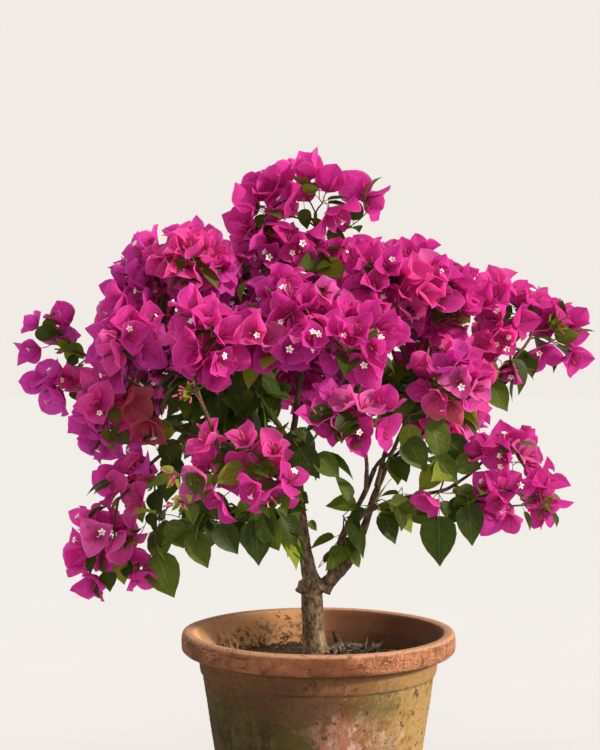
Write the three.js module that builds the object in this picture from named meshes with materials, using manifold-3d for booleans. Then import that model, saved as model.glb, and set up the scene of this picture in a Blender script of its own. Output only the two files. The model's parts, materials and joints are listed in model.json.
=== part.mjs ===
// A bougainvillea bush in a terracotta pot: pot, soil, trunk, limbs and masses of foliage.
// Millimetres, +Z up, the front of the bush towards -Y. The origin is the middle of the
// pot's flat underside. Each piece is one closed solid with a small gap to its neighbours.
import * as THREE from 'three';
import { mergeVertices } from 'three/addons/utils/BufferGeometryUtils.js';
import Module from 'manifold-3d';

const wasm = await Module();
wasm.setup();

// ---- driving dimensions ----
const GAP = 0.35; // clearance between pieces that touch
const LEAF_GAP = 0.75; // clearance between two masses of foliage
const MERGE = 1e-3; // vertices closer than this are one
const FINE = 0.12; // how far a limb's cut surface may be smoothed
const LEAF_FINE = 0.3; // and that of a mass

const POT_HEIGHT = 300;
const POT_BASE_RADIUS = 106;
const POT_TOP_RADIUS = 150; // of the body, right under the rim
const POT_WALL = 12;
const POT_FLOOR = 16;
const RIM_RADIUS = 170;
const RIM_INNER_RADIUS = 151;
const RIM_HEIGHT = 28;
const RIM_ROUND = 8;
const RIM_FOOT_ANGLE = -70; // where the rim's lower round starts
const COLLAR_HEIGHT = 26; // the slightly thicker band right under the rim
const COLLAR_STEP = 2;
const FOOT_ROUND = 3; // of the foot, and of the rim's inner edge
const POT_SIDES = 32;
const DRAIN_HOLES = 3;
const DRAIN_RADIUS = 8;
const DRAIN_CIRCLE = 55;
const DRAIN_SIDES = 8;
const DRAIN_OVERSHOOT = 1; // the cutter passes the floor by this much

const SOIL_TOP = 262; // where the trunk leaves it
const SOIL_FALL = 4; // the soil lies this much lower at the wall
const SOIL_SHOULDER = 0.55; // as a share of the radius: the soil is a third of the way down there
const SOIL_COLLAR = 9; // level soil round the trunk

const TRUNK_RADIUS = 13.2;
const TRUNK_TIP_RADIUS = 13.6; // it swells again into the fork
const FLARE = 4.5; // the root flare adds this much at the soil
const FLARE_HEIGHT = 14;
const TRUNK_SIDES = 12;
const LIMB_SIDES = 6;
const LIMB_STEP = 34; // length of one straight piece of a limb
const LIMB_LEAST_STEPS = 3;
const LIMB_TAPER = 0.85; // under 1, a limb thins faster near its foot

const MASS_DETAIL = 3; // subdivisions of each mass's octahedron
const INNER_DETAIL = 2; // of those that hardly show
const MASS_BUMPS = 5;
const MASS_WAVES = [4, 9]; // waves of one bump from side to side of a mass, in radians
const MASS_ROUGHNESS = 0.13;

const COLOURS = {
  clay: { color: 0xb5704f, roughness: 0.85, metalness: 0 },
  soil: { color: 0x4a3a2c, roughness: 0.95, metalness: 0 },
  bark: { color: 0x7d6752, roughness: 0.85, metalness: 0 },
  bloom: { color: 0xc42a88, roughness: 0.7, metalness: 0 },
  leaves: { color: 0x3f5a22, roughness: 0.65, metalness: 0 },
};

// ---- limbs: the trunk first, then each limb after the one it grows from ----
// via: points on the limb's middle line; radii: at its foot and at its tip
const TRUNK = [[-3, 0, SOIL_TOP + GAP], [-6, 0, 296], [-8, 0, 330], [-8.5, 0, 357]];
const LIMBS = {
  left_stem: {
    radii: [7.6, 4.8],
    via: [[-9, 0, 348], [-14, -3, 382], [-21, -4, 432], [-24, 0, 472], [-31, 4, 540]],
  },
  right_stem: {
    radii: [6.6, 3.6],
    via: [[-6, 0, 345], [14, 2, 359], [34, 4, 376], [46, 8, 397], [60, 12, 432], [73, 14, 476]],
  },
  inner_stem: {
    radii: [4.6, 2.7],
    via: [
      [13, 0, 358], [21, -7, 386], [27, -12, 408], [35, -16, 434],
      [51, -22, 457], [62, -27, 486], [69, -32, 504],
    ],
  },
  leader: {
    radii: [4.6, 2.2],
    via: [[-31, 4, 536], [-22, 5, 620], [-6, 0, 700], [-3, -5, 770], [-4, -14, 818]],
  },
  left_bough: {
    radii: [4.2, 3.0],
    via: [[-27, 2, 505], [-42, -18, 546], [-62, -34, 574], [-84, -44, 594]],
  },
  low_left_bough: {
    radii: [4.2, 2.4],
    via: [
      [-24, 0, 470], [-62, -35, 508], [-113, -60, 537],
      [-168, -68, 549], [-208, -68, 572], [-238, -66, 578],
    ],
  },
  lower_left_bough: {
    radii: [2.6, 1.8],
    via: [[-150, -66, 546], [-186, -70, 526], [-212, -72, 500], [-226, -72, 488]],
  },
  left_tip_bough: {
    radii: [2.5, 1.7],
    via: [[-196, -67, 564], [-218, -14, 600], [-268, 8, 630], [-322, 10, 654]],
  },
  back_left_bough: {
    radii: [4.2, 2.6],
    via: [[-25, 1, 486], [-68, 50, 540], [-128, 96, 585], [-176, 124, 616]],
  },
  back_bough: { radii: [3.8, 2.4], via: [[-30, 4, 524], [-30, 62, 560], [-26, 118, 596], [-26, 160, 616]] },
  front_left_bough: {
    radii: [3.6, 2.2],
    via: [[-24, -1, 462], [-46, -66, 492], [-74, -136, 512], [-100, -194, 520]],
  },
  lower_right_bough: {
    radii: [3.2, 1.9],
    via: [
      [35, -16, 432], [65, -36, 453], [97, -46, 468],
      [154, -58, 478], [180, -60, 496], [204, -60, 520],
    ],
  },
  right_bough: { radii: [3.5, 2.6], via: [[72, 14, 472], [84, 16, 520], [98, 8, 572]] },
  right_arm: {
    radii: [2.8, 1.8],
    via: [[80, 15, 502], [128, 4, 542], [184, -16, 586], [218, -26, 612], [236, -28, 632]],
  },
  back_right_bough: {
    radii: [3.5, 2.4],
    via: [[69, 14, 460], [94, 58, 512], [120, 104, 562], [146, 140, 596]],
  },
  front_right_bough: {
    radii: [2.9, 1.9],
    via: [[58, -24, 474], [56, -88, 516], [46, -148, 552], [38, -196, 570]],
  },
};

// ---- masses of foliage: middle, half sizes, and which plant colour they show ----
// Those that draw the outline come first and keep their shape; the later ones are cut round them.
const MASSES = {
  tuft_left: { at: [-67, 0, 825], half: [47, 46, 50] },
  tuft_middle: { at: [-3, -18, 848], half: [34, 38, 50] },
  tuft_right: { at: [51, 6, 838], half: [36, 36, 33] },
  left_tip_upper: { at: [-339, 14, 666], half: [40, 38, 40] },
  left_tip_lower: { at: [-329, -22, 607], half: [35, 36, 33] },
  lower_left_tip: { at: [-256, -80, 412], half: [52, 50, 54] },
  lower_left_crest: { at: [-232, -70, 490], half: [40, 44, 42] },
  lower_right_outer: { at: [269, -62, 470], half: [34, 40, 50] },
  lower_right_crest: { at: [224, -60, 530], half: [50, 46, 30] },
  lower_right_inner: { at: [213, -80, 463], half: [34, 42, 42] },
  right_tip: { at: [306, 0, 662], half: [35, 42, 46] },
  right_shoulder: { at: [238, -20, 706], half: [56, 60, 46] },
  right_underside: { at: [242, -30, 620], half: [30, 38, 46], leafy: true, detail: INNER_DETAIL },
  left_side: { at: [-262, -60, 577], half: [42, 58, 70] },
  left_shoulder: { at: [-222, -118, 656], half: [50, 64, 50] },
  outer_dome: { at: [-230, -10, 716], half: [50, 78, 58] },
  front_low_left: { at: [-118, -222, 516], half: [38, 46, 56] },
  front_low_middle: { at: [-50, -232, 514], half: [44, 42, 52] },
  front_left: { at: [-122, -202, 652], half: [52, 60, 60] },
  front_middle: { at: [-36, -170, 682], half: [52, 62, 60] },
  front_right: { at: [32, -212, 650], half: [62, 54, 50] },
  front_low_right: { at: [36, -222, 572], half: [56, 48, 40] },
  left_fringe: { at: [-97, -110, 438], half: [82, 58, 42], leafy: true },
  right_fringe: { at: [138, -74, 443], half: [72, 40, 42], leafy: true },
  lower_left_leaves: { at: [-184, -62, 446], half: [21, 30, 88], leafy: true, detail: INNER_DETAIL },
  middle_leaves: { at: [-22, -94, 508], half: [42, 52, 36], leafy: true, detail: INNER_DETAIL },
  right_low_leaves: { at: [148, -60, 516], half: [42, 46, 34], leafy: true, detail: INNER_DETAIL },
  underside: { at: [90, -42, 510], half: [27, 34, 40], leafy: true, detail: INNER_DETAIL },
  left_dome: { at: [-150, -60, 748], half: [62, 84, 56] },
  right_crown: { at: [64, -60, 726], half: [60, 88, 56] },
  right_dome: { at: [142, -44, 714], half: [54, 72, 62] },
  right_side: { at: [154, -112, 610], half: [58, 66, 54] },
  crown_top: { at: [-38, 0, 768], half: [62, 64, 44], detail: INNER_DETAIL },
  back_top: { at: [-92, 118, 742], half: [132, 88, 56] },
  back_right_top: { at: [122, 112, 722], half: [90, 88, 56] },
  back_left: { at: [-212, 130, 628], half: [100, 84, 74] },
  back_middle: { at: [-26, 208, 632], half: [104, 78, 78] },
  back_right: { at: [152, 144, 600], half: [84, 88, 84] },
  back_low_left: { at: [-126, 136, 530], half: [76, 76, 60], leafy: true, detail: INNER_DETAIL },
  inner_left: { at: [-108, -58, 598], half: [82, 66, 48], leafy: true, detail: INNER_DETAIL },
  inner_right: { at: [112, -10, 600], half: [68, 70, 50], leafy: true, detail: INNER_DETAIL },
};

// ---- helpers ----
const v = (p) => new THREE.Vector3(...p);

// A small repeatable stream of numbers from 0 to 1, by linear congruence.
const STREAM = { factor: 1664525, shift: 1013904223, range: 2 ** 32 };
function seeded(seed) {
  let state = seed;
  return () => {
    state = (state * STREAM.factor + STREAM.shift) % STREAM.range;
    return state / STREAM.range;
  };
}

function solid(geometry) {
  const bare = geometry.clone();
  bare.deleteAttribute('normal');
  bare.deleteAttribute('uv');
  const merged = mergeVertices(bare, MERGE);
  return new wasm.Manifold(new wasm.Mesh({
    numProp: 3,
    vertProperties: new Float32Array(merged.attributes.position.array),
    triVerts: new Uint32Array(merged.index.array),
  }));
}

function geometryOf(body) {
  const mesh = body.getMesh();
  const geometry = new THREE.BufferGeometry();
  geometry.setAttribute('position', new THREE.BufferAttribute(mesh.vertProperties, 3));
  geometry.setIndex(new THREE.BufferAttribute(mesh.triVerts, 1));
  geometry.computeVertexNormals();
  return geometry;
}

const largest = (body) => body.decompose().reduce((a, b) => (b.volume() > a.volume() ? b : a));

function boxesMeet(a, b) {
  const [p, q] = [a.boundingBox(), b.boundingBox()];
  return [0, 1, 2].every((i) => p.min[i] < q.max[i] && q.min[i] < p.max[i]);
}

// ---- shapes ----
const potRadius = (z) => POT_BASE_RADIUS
  + (POT_TOP_RADIUS - POT_BASE_RADIUS) * (z / (POT_HEIGHT - RIM_HEIGHT));

// Points of a quarter round from one heading to the next, for a lathe profile.
function corner(centre, radius, from, to, steps) {
  return Array.from({ length: steps + 1 }, (_, i) => {
    const a = THREE.MathUtils.degToRad(from + ((to - from) * i) / steps);
    return new THREE.Vector2(centre[0] + radius * Math.cos(a), centre[1] + radius * Math.sin(a));
  });
}

function potShape() {
  const rimFoot = POT_HEIGHT - RIM_HEIGHT;
  const collarFoot = rimFoot - COLLAR_HEIGHT;
  const profile = [
    new THREE.Vector2(0, 0),
    ...corner([POT_BASE_RADIUS - FOOT_ROUND, FOOT_ROUND], FOOT_ROUND, -90, 0, 1),
    new THREE.Vector2(potRadius(collarFoot - COLLAR_STEP) - COLLAR_STEP, collarFoot - COLLAR_STEP),
    new THREE.Vector2(potRadius(collarFoot), collarFoot),
    new THREE.Vector2(potRadius(rimFoot), rimFoot),
    ...corner([RIM_RADIUS - RIM_ROUND, rimFoot + RIM_ROUND], RIM_ROUND, RIM_FOOT_ANGLE, 0, 1),
    ...corner([RIM_RADIUS - RIM_ROUND, POT_HEIGHT - RIM_ROUND], RIM_ROUND, 0, 90, 2),
    new THREE.Vector2(RIM_INNER_RADIUS + FOOT_ROUND, POT_HEIGHT),
    new THREE.Vector2(RIM_INNER_RADIUS, POT_HEIGHT - FOOT_ROUND),
    new THREE.Vector2(potRadius(rimFoot) - POT_WALL, rimFoot),
    new THREE.Vector2(potRadius(POT_FLOOR) - POT_WALL, POT_FLOOR),
    new THREE.Vector2(0, POT_FLOOR),
  ];
  const pot = new THREE.LatheGeometry(profile, POT_SIDES);
  pot.rotateX(Math.PI / 2);
  return pot;
}

function drainHole(index) {
  const hole = new THREE.CylinderGeometry(DRAIN_RADIUS, DRAIN_RADIUS, 2 * (POT_FLOOR + DRAIN_OVERSHOOT),
    DRAIN_SIDES);
  hole.rotateX(Math.PI / 2);
  const turn = (index / DRAIN_HOLES) * 2 * Math.PI;
  hole.translate(DRAIN_CIRCLE * Math.cos(turn), DRAIN_CIRCLE * Math.sin(turn), 0);
  return hole;
}

function soilShape() {
  const inner = (z) => potRadius(z) - POT_WALL - GAP / Math.cos(Math.PI / POT_SIDES);
  const foot = POT_FLOOR + GAP;
  const edge = SOIL_TOP - SOIL_FALL;
  const profile = [
    new THREE.Vector2(0, foot),
    new THREE.Vector2(inner(foot), foot),
    new THREE.Vector2(inner(edge), edge),
    new THREE.Vector2(SOIL_SHOULDER * inner(edge), SOIL_TOP - SOIL_FALL / 3),
    new THREE.Vector2(TRUNK_RADIUS + SOIL_COLLAR, SOIL_TOP),
    new THREE.Vector2(0, SOIL_TOP),
  ];
  const soil = new THREE.LatheGeometry(profile, POT_SIDES);
  soil.rotateX(Math.PI / 2);
  return soil;
}

// A closed round bar bent along a smooth line, with its own radius at each place along it.
function bar(points, radiusAt, sides, grow) {
  const line = new THREE.CatmullRomCurve3(points.map(v));
  const length = line.getLength();
  const steps = Math.max(LIMB_LEAST_STEPS, Math.round(length / LIMB_STEP));
  const frames = line.computeFrenetFrames(steps);
  const shape = new THREE.CylinderGeometry(1, 1, 1, sides, steps);
  const position = shape.attributes.position;
  for (let i = 0; i < position.count; i += 1) {
    const step = Math.round((position.getY(i) + 0.5) * steps);
    const along = step / steps;
    const radius = radiusAt(along, length) + grow;
    const end = (step === steps ? grow : 0) - (step === 0 ? grow : 0);
    const place = line.getPointAt(along)
      .addScaledVector(frames.normals[step], position.getZ(i) * radius)
      .addScaledVector(frames.binormals[step], position.getX(i) * radius)
      .addScaledVector(frames.tangents[step], end);
    position.setXYZ(i, place.x, place.y, place.z);
  }
  return shape;
}

function trunkShape(grow = 0) {
  const radiusAt = (along, length) => THREE.MathUtils.lerp(TRUNK_RADIUS, TRUNK_TIP_RADIUS, along)
    + FLARE * Math.exp((-along * length) / FLARE_HEIGHT);
  const trunk = bar(TRUNK, radiusAt, TRUNK_SIDES, grow);
  const position = trunk.attributes.position;
  const foot = TRUNK[0][2];
  for (let i = 0; i < position.count; i += 1) {
    // the foot is one level cut, whatever the lean of the trunk
    if (position.getZ(i) < foot + FLARE) position.setZ(i, foot - grow);
  }
  return trunk;
}

function limbShape({ radii, via }, grow = 0) {
  const radiusAt = (along) => THREE.MathUtils.lerp(radii[0], radii[1], along ** LIMB_TAPER);
  return bar(via, radiusAt, LIMB_SIDES, grow);
}

// An uneven closed lump that fills its named box: an octahedron's sphere with broad bumps.
function massShape({ at, half, detail = MASS_DETAIL }, seed, grow = 0) {
  const random = seeded(seed);
  const bumps = Array.from({ length: MASS_BUMPS }, () => ({
    way: v([random() - 0.5, random() - 0.5, random() - 0.5]).normalize(),
    waves: THREE.MathUtils.lerp(...MASS_WAVES, random()),
    shift: 2 * Math.PI * random(),
  }));
  const shape = mergeVertices(stripped(new THREE.OctahedronGeometry(1, detail)), MERGE);
  const position = shape.attributes.position;
  const point = new THREE.Vector3();
  for (let i = 0; i < position.count; i += 1) {
    point.fromBufferAttribute(position, i).normalize();
    const lift = bumps.reduce((sum, b) => sum + Math.cos(b.waves * point.dot(b.way) + b.shift), 0);
    point.multiplyScalar(1 + (MASS_ROUGHNESS * lift) / Math.sqrt(MASS_BUMPS));
    position.setXYZ(i, point.x, point.y, point.z);
  }
  shape.computeBoundingBox();
  const size = shape.boundingBox.getSize(new THREE.Vector3());
  const middle = shape.boundingBox.getCenter(new THREE.Vector3());
  shape.translate(-middle.x, -middle.y, -middle.z);
  const [x, y, z] = half.map((h) => 2 * (h + grow));
  shape.scale(x / size.x, y / size.y, z / size.z);
  shape.translate(...at);
  return shape;
}

function stripped(geometry) {
  geometry.deleteAttribute('normal');
  geometry.deleteAttribute('uv');
  return geometry;
}

// ---- assembly ----
const bush = new THREE.Group();
const cutters = []; // each placed piece, a little larger, to cut the next ones round it

function place(name, body, colour, cutter) {
  const material = new THREE.MeshStandardMaterial(COLOURS[colour]);
  const mesh = new THREE.Mesh(geometryOf(body), material);
  mesh.name = name;
  bush.add(mesh);
  if (cutter) cutters.push(cutter);
}

function cutRound(body, smoothing) {
  const near = cutters.filter((cutter) => boxesMeet(cutter, body));
  const cut = near.reduce((rest, cutter) => rest.subtract(cutter), body);
  return largest(cut.simplify(smoothing));
}

let pot = solid(potShape());
for (let i = 0; i < DRAIN_HOLES; i += 1) pot = pot.subtract(solid(drainHole(i)));
place('pot', pot, 'clay');
place('soil', solid(soilShape()), 'soil');
place('trunk', solid(trunkShape()), 'bark', solid(trunkShape(GAP)));

for (const [name, limb] of Object.entries(LIMBS)) {
  place(name, cutRound(solid(limbShape(limb)), FINE), 'bark', solid(limbShape(limb, GAP)));
}

Object.entries(MASSES).forEach(([name, mass], index) => {
  const colour = mass.leafy ? 'leaves' : 'bloom';
  const seed = index + 1;
  const body = cutRound(solid(massShape(mass, seed)), LEAF_FINE);
  place(name, body, colour, solid(massShape(mass, seed, LEAF_GAP)));
});

export default bush;
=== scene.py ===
"""A bougainvillea bush in a terracotta pot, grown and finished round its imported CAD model.

Metres, +Z up, the front of the bush towards -Y. Twigs grow from the CAD limbs to the flowers
and leaves by one seeded rule, and the CAD masses of foliage say where flowers and leaves sit.
"""
import json
import math

import bpy
import numpy as np
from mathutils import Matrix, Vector, kdtree, noise
from mathutils.geometry import delaunay_2d_cdt

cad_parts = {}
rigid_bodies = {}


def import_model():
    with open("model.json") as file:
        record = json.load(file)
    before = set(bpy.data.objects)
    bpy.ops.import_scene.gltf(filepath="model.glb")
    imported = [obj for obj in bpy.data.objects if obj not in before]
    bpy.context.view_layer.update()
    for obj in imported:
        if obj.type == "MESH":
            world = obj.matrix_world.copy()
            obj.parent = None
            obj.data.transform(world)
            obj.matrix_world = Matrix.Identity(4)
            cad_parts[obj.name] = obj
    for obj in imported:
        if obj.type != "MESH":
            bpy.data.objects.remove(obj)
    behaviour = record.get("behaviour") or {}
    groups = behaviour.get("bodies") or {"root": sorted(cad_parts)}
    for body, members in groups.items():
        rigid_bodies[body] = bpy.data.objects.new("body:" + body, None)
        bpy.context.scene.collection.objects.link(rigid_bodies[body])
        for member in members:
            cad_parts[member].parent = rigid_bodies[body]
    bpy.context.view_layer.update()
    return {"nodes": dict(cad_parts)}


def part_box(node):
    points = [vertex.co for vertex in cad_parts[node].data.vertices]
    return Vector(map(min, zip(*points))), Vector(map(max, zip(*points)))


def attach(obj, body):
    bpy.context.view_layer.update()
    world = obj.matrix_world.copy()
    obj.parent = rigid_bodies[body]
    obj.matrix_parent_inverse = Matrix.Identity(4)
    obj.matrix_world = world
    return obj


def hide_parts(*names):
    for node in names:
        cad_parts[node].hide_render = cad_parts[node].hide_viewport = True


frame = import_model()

MM = 0.001
TAU = 2 * np.pi
UP = np.array([0.0, 0.0, 1.0])
rng = np.random.default_rng(7)

# ---- what the CAD nodes are ----
STEMS = ["left_stem", "right_stem", "inner_stem"]
BOUGHS = [
    "leader", "left_bough", "low_left_bough", "lower_left_bough", "left_tip_bough",
    "back_left_bough", "back_bough", "front_left_bough", "lower_right_bough", "right_bough",
    "right_arm", "back_right_bough", "front_right_bough",
]
LIMBS = STEMS + BOUGHS
LEAFY = [
    "left_fringe", "right_fringe", "lower_left_leaves", "middle_leaves", "right_low_leaves",
    "underside", "right_underside", "back_low_left", "inner_left", "inner_right",
]
HAND_HUNG = LEAFY[:7]  # their leaves in front are listed one by one
AIRY = [name for name in HAND_HUNG if name not in ("left_fringe", "middle_leaves")]  # thin ones
MASSES = sorted(set(frame["nodes"]) - set(LIMBS) - {"pot", "soil", "trunk"})
BLOOM = [name for name in MASSES if name not in LEAFY]


# ---- arrays ----
def unit(a):
    return a / np.maximum(np.linalg.norm(a, axis=-1, keepdims=True), 1e-12)


def frames(forward, face):
    """Rows X, Y, Z of frames whose Y is forward and whose Z is as near face as it can be."""
    y = unit(forward)
    z = unit(face - (face * y).sum(-1, keepdims=True) * y)
    return np.stack([np.cross(y, z), y, z], axis=-2)


def placed(local, rows, places):
    """n copies of a part, or n parts (n, v, 3), each turned by its frame and moved."""
    return places[:, None] + np.einsum("nvi,nij->nvj", local, rows)


def scatter(n):
    """n random directions."""
    return unit(rng.normal(size=(n, 3)))


def loose(ways, share):
    """Ways turned at random, the more the larger share is."""
    return unit(ways + share * scatter(len(ways)))


def between(low, high, n):
    return rng.uniform(low, high, n)


def tangents(line):
    return unit(np.gradient(line, axis=0))


def field(points, scale, shift=0.0):
    """Smooth noise from -1 to 1 at each point."""
    move = Vector((shift, 2 * shift, -shift))
    return np.array([noise.noise(Vector(p) * scale + move) for p in points])


def circle(count, radius=1.0):
    """Sines and cosines of even turns, as two columns."""
    turn = np.linspace(0, TAU, count, endpoint=False)
    return radius * np.stack([np.sin(turn), np.cos(turn)], 1)


def grid_faces(rows, columns, closed=False, flip=False):
    """The triangles of a grid of points. closed joins the last column to the first."""
    index = np.arange(rows * columns).reshape(rows, columns)
    if closed:
        index = np.c_[index, index[:, :1]]
    a, b, c, d = index[:-1, :-1], index[:-1, 1:], index[1:, 1:], index[1:, :-1]
    faces = np.stack([np.stack([a, b, c], -1), np.stack([a, c, d], -1)]).reshape(-1, 3)
    return faces[:, ::-1] if flip else faces


def fan(ring, middle):
    """The triangles from a closed ring of points to one in its middle."""
    return np.stack([ring, np.roll(ring, -1), np.full(len(ring), middle)], 1)


def grid_map(across, along):
    return np.stack([np.tile(across, len(along)), np.repeat(along, len(across))], 1)


def read(items, key, kind=float):
    """One attribute of a mesh's items, three numbers each."""
    values = np.empty(len(items) * 3, kind)
    items.foreach_get(key, values)
    return values.reshape(-1, 3)


def mesh_arrays(node):
    mesh = frame["nodes"][node].data
    mesh.calc_loop_triangles()
    return read(mesh.vertices, "co"), read(mesh.loop_triangles, "vertices", int)


# ---- meshes from arrays ----
class Batch:
    """Loose parts of one kind, gathered as triangles with their maps and made into one piece."""

    def __init__(self, name, slot, look):
        self.name, self.slot, self.look, self.parts, self.count = name, slot, look, [], 0

    def add(self, points, triangles, tile, blade=None):
        """points (n, v, 3) are n copies of a part that share triangles (t, 3) and maps (v, 2)."""
        n, v = points.shape[:2]
        start = self.count + v * np.arange(n)
        maps = [np.tile(flat, (n, 1)) for flat in (tile, tile if blade is None else blade)]
        triangles = (start[:, None, None] + triangles).reshape(-1, 3)
        self.parts.append((points.reshape(-1, 3), triangles, *maps))
        self.count += n * v

    def add_one(self, points, triangles, tile):
        self.add(points[None], triangles, tile)

    def make(self):
        points, triangles, tile, blade = map(np.concatenate, zip(*self.parts))
        return mesh_piece(self.name, self.slot, self.look, points, triangles, tile, blade)


def mesh_piece(name, slot, look, points, triangles, tile=None, blade=None):
    mesh = bpy.data.meshes.new(name)
    mesh.vertices.add(len(points))
    mesh.vertices.foreach_set("co", points.astype(np.float32).ravel())
    mesh.loops.add(triangles.size)
    mesh.loops.foreach_set("vertex_index", triangles.astype(np.int32).ravel())
    mesh.polygons.add(len(triangles))
    mesh.polygons.foreach_set("loop_start", np.arange(0, triangles.size, 3, dtype=np.int32))
    mesh.polygons.foreach_set("use_smooth", np.full(len(triangles), True))
    mesh.update(calc_edges=True)
    for label, places in (("OFBake", tile), ("blade", blade)):
        if places is not None:
            layer = mesh.uv_layers.new(name=label)
            layer.data.foreach_set("uv", places[triangles.ravel()].astype(np.float32).ravel())
    mesh.validate()
    mesh.materials.append(look)
    piece = link(bpy.data.objects.new(name, mesh))
    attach(piece, "root")
    return piece


def link(thing):
    bpy.context.scene.collection.objects.link(thing)
    return thing


# ---- the middle lines of the limbs ----
SLICES = 14
END_INSET = 0.6 * MM
EASED = 12 * MM  # how far the easing of a corner reaches


def centre_line(node):
    """Points along the middle of a limb's solid from its thick end to its tip, and radii."""
    points, triangles = mesh_arrays(node)
    middle = points.mean(0)
    axis = np.linalg.svd(points - middle, full_matrices=False)[2][0]
    along = (points - middle) @ axis
    a, b = np.concatenate([triangles[:, [0, 1]], triangles[:, [1, 2]], triangles[:, [2, 0]]]).T
    rings, radii = [], []
    for level in np.linspace(along.min() + END_INSET, along.max() - END_INSET, SLICES):
        cut = (along[a] - level) * (along[b] - level) < 0
        share = ((level - along[a[cut]]) / (along[b[cut]] - along[a[cut]]))[:, None]
        rings.append(points[a[cut]] * (1 - share) + points[b[cut]] * share)
    line = np.array([ring.mean(0) for ring in rings])
    for ring, centre, tangent in zip(rings, line, tangents(line)):
        arm = ring - centre
        arm -= (arm @ tangent)[:, None] * tangent
        radii.append(np.linalg.norm(arm, axis=1).mean())
    radii = np.array(radii)
    radii[0], radii[-1] = radii[1], radii[-2]
    half = SLICES // 2
    if node == "trunk":
        turned = line[0, 2] > line[-1, 2]
    else:
        turned = radii[:half].mean() < radii[half:].mean()
    return (line[::-1], radii[::-1]) if turned else (line, radii)


def resampled(name, step):
    """A limb's line and radii with a point every step, its corners eased."""
    line, radii = lines[name]
    lengths = np.r_[0, np.cumsum(np.linalg.norm(np.diff(line, axis=0), axis=1))]
    at = np.linspace(0, lengths[-1], max(4, int(lengths[-1] / step) + 1))
    fine = np.stack([np.interp(at, lengths, values) for values in line.T], axis=1)
    width = np.interp(at, lengths, radii)
    for _ in range(max(2, int(EASED / step) ** 2 // 4)):
        for row in fine, width:
            row[1:-1] = (row[:-2] + 2 * row[1:-1] + row[2:]) / 4
    return fine, width


def sweep(line, radii, sides, cap=False):
    """A round tube along a line: its points, triangles and a map of (round, along)."""
    side = np.cross(tangents(line)[0], UP)
    if np.linalg.norm(side) < 0.1:
        side = np.array([1.0, 0.0, 0.0])
    across = []
    for tangent in tangents(line):
        side = unit(side - (side @ tangent) * tangent)
        across.append(side)
    across, n = np.array(across), len(line)
    other = np.cross(tangents(line), across)
    sine, cosine = circle(sides).T[..., None]
    ring = cosine * across[:, None] + sine * other[:, None]
    points = (line[:, None] + ring * radii[:, None, None]).reshape(-1, 3)
    triangles = grid_faces(n, sides, closed=True)
    places = grid_map(np.abs(np.linspace(-1, 1, sides, endpoint=False)), np.linspace(0, 1, n))
    if cap:
        ring, last = np.arange(sides), n * sides
        points = np.concatenate([points, line[[0, -1]]])
        places = np.concatenate([places, [[0.5, 0.0], [0.5, 1.0]]])
        triangles = np.concatenate([triangles, fan(ring[::-1], last),
                                    fan(last - sides + ring, last + 1)])
    return points, triangles, places


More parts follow.
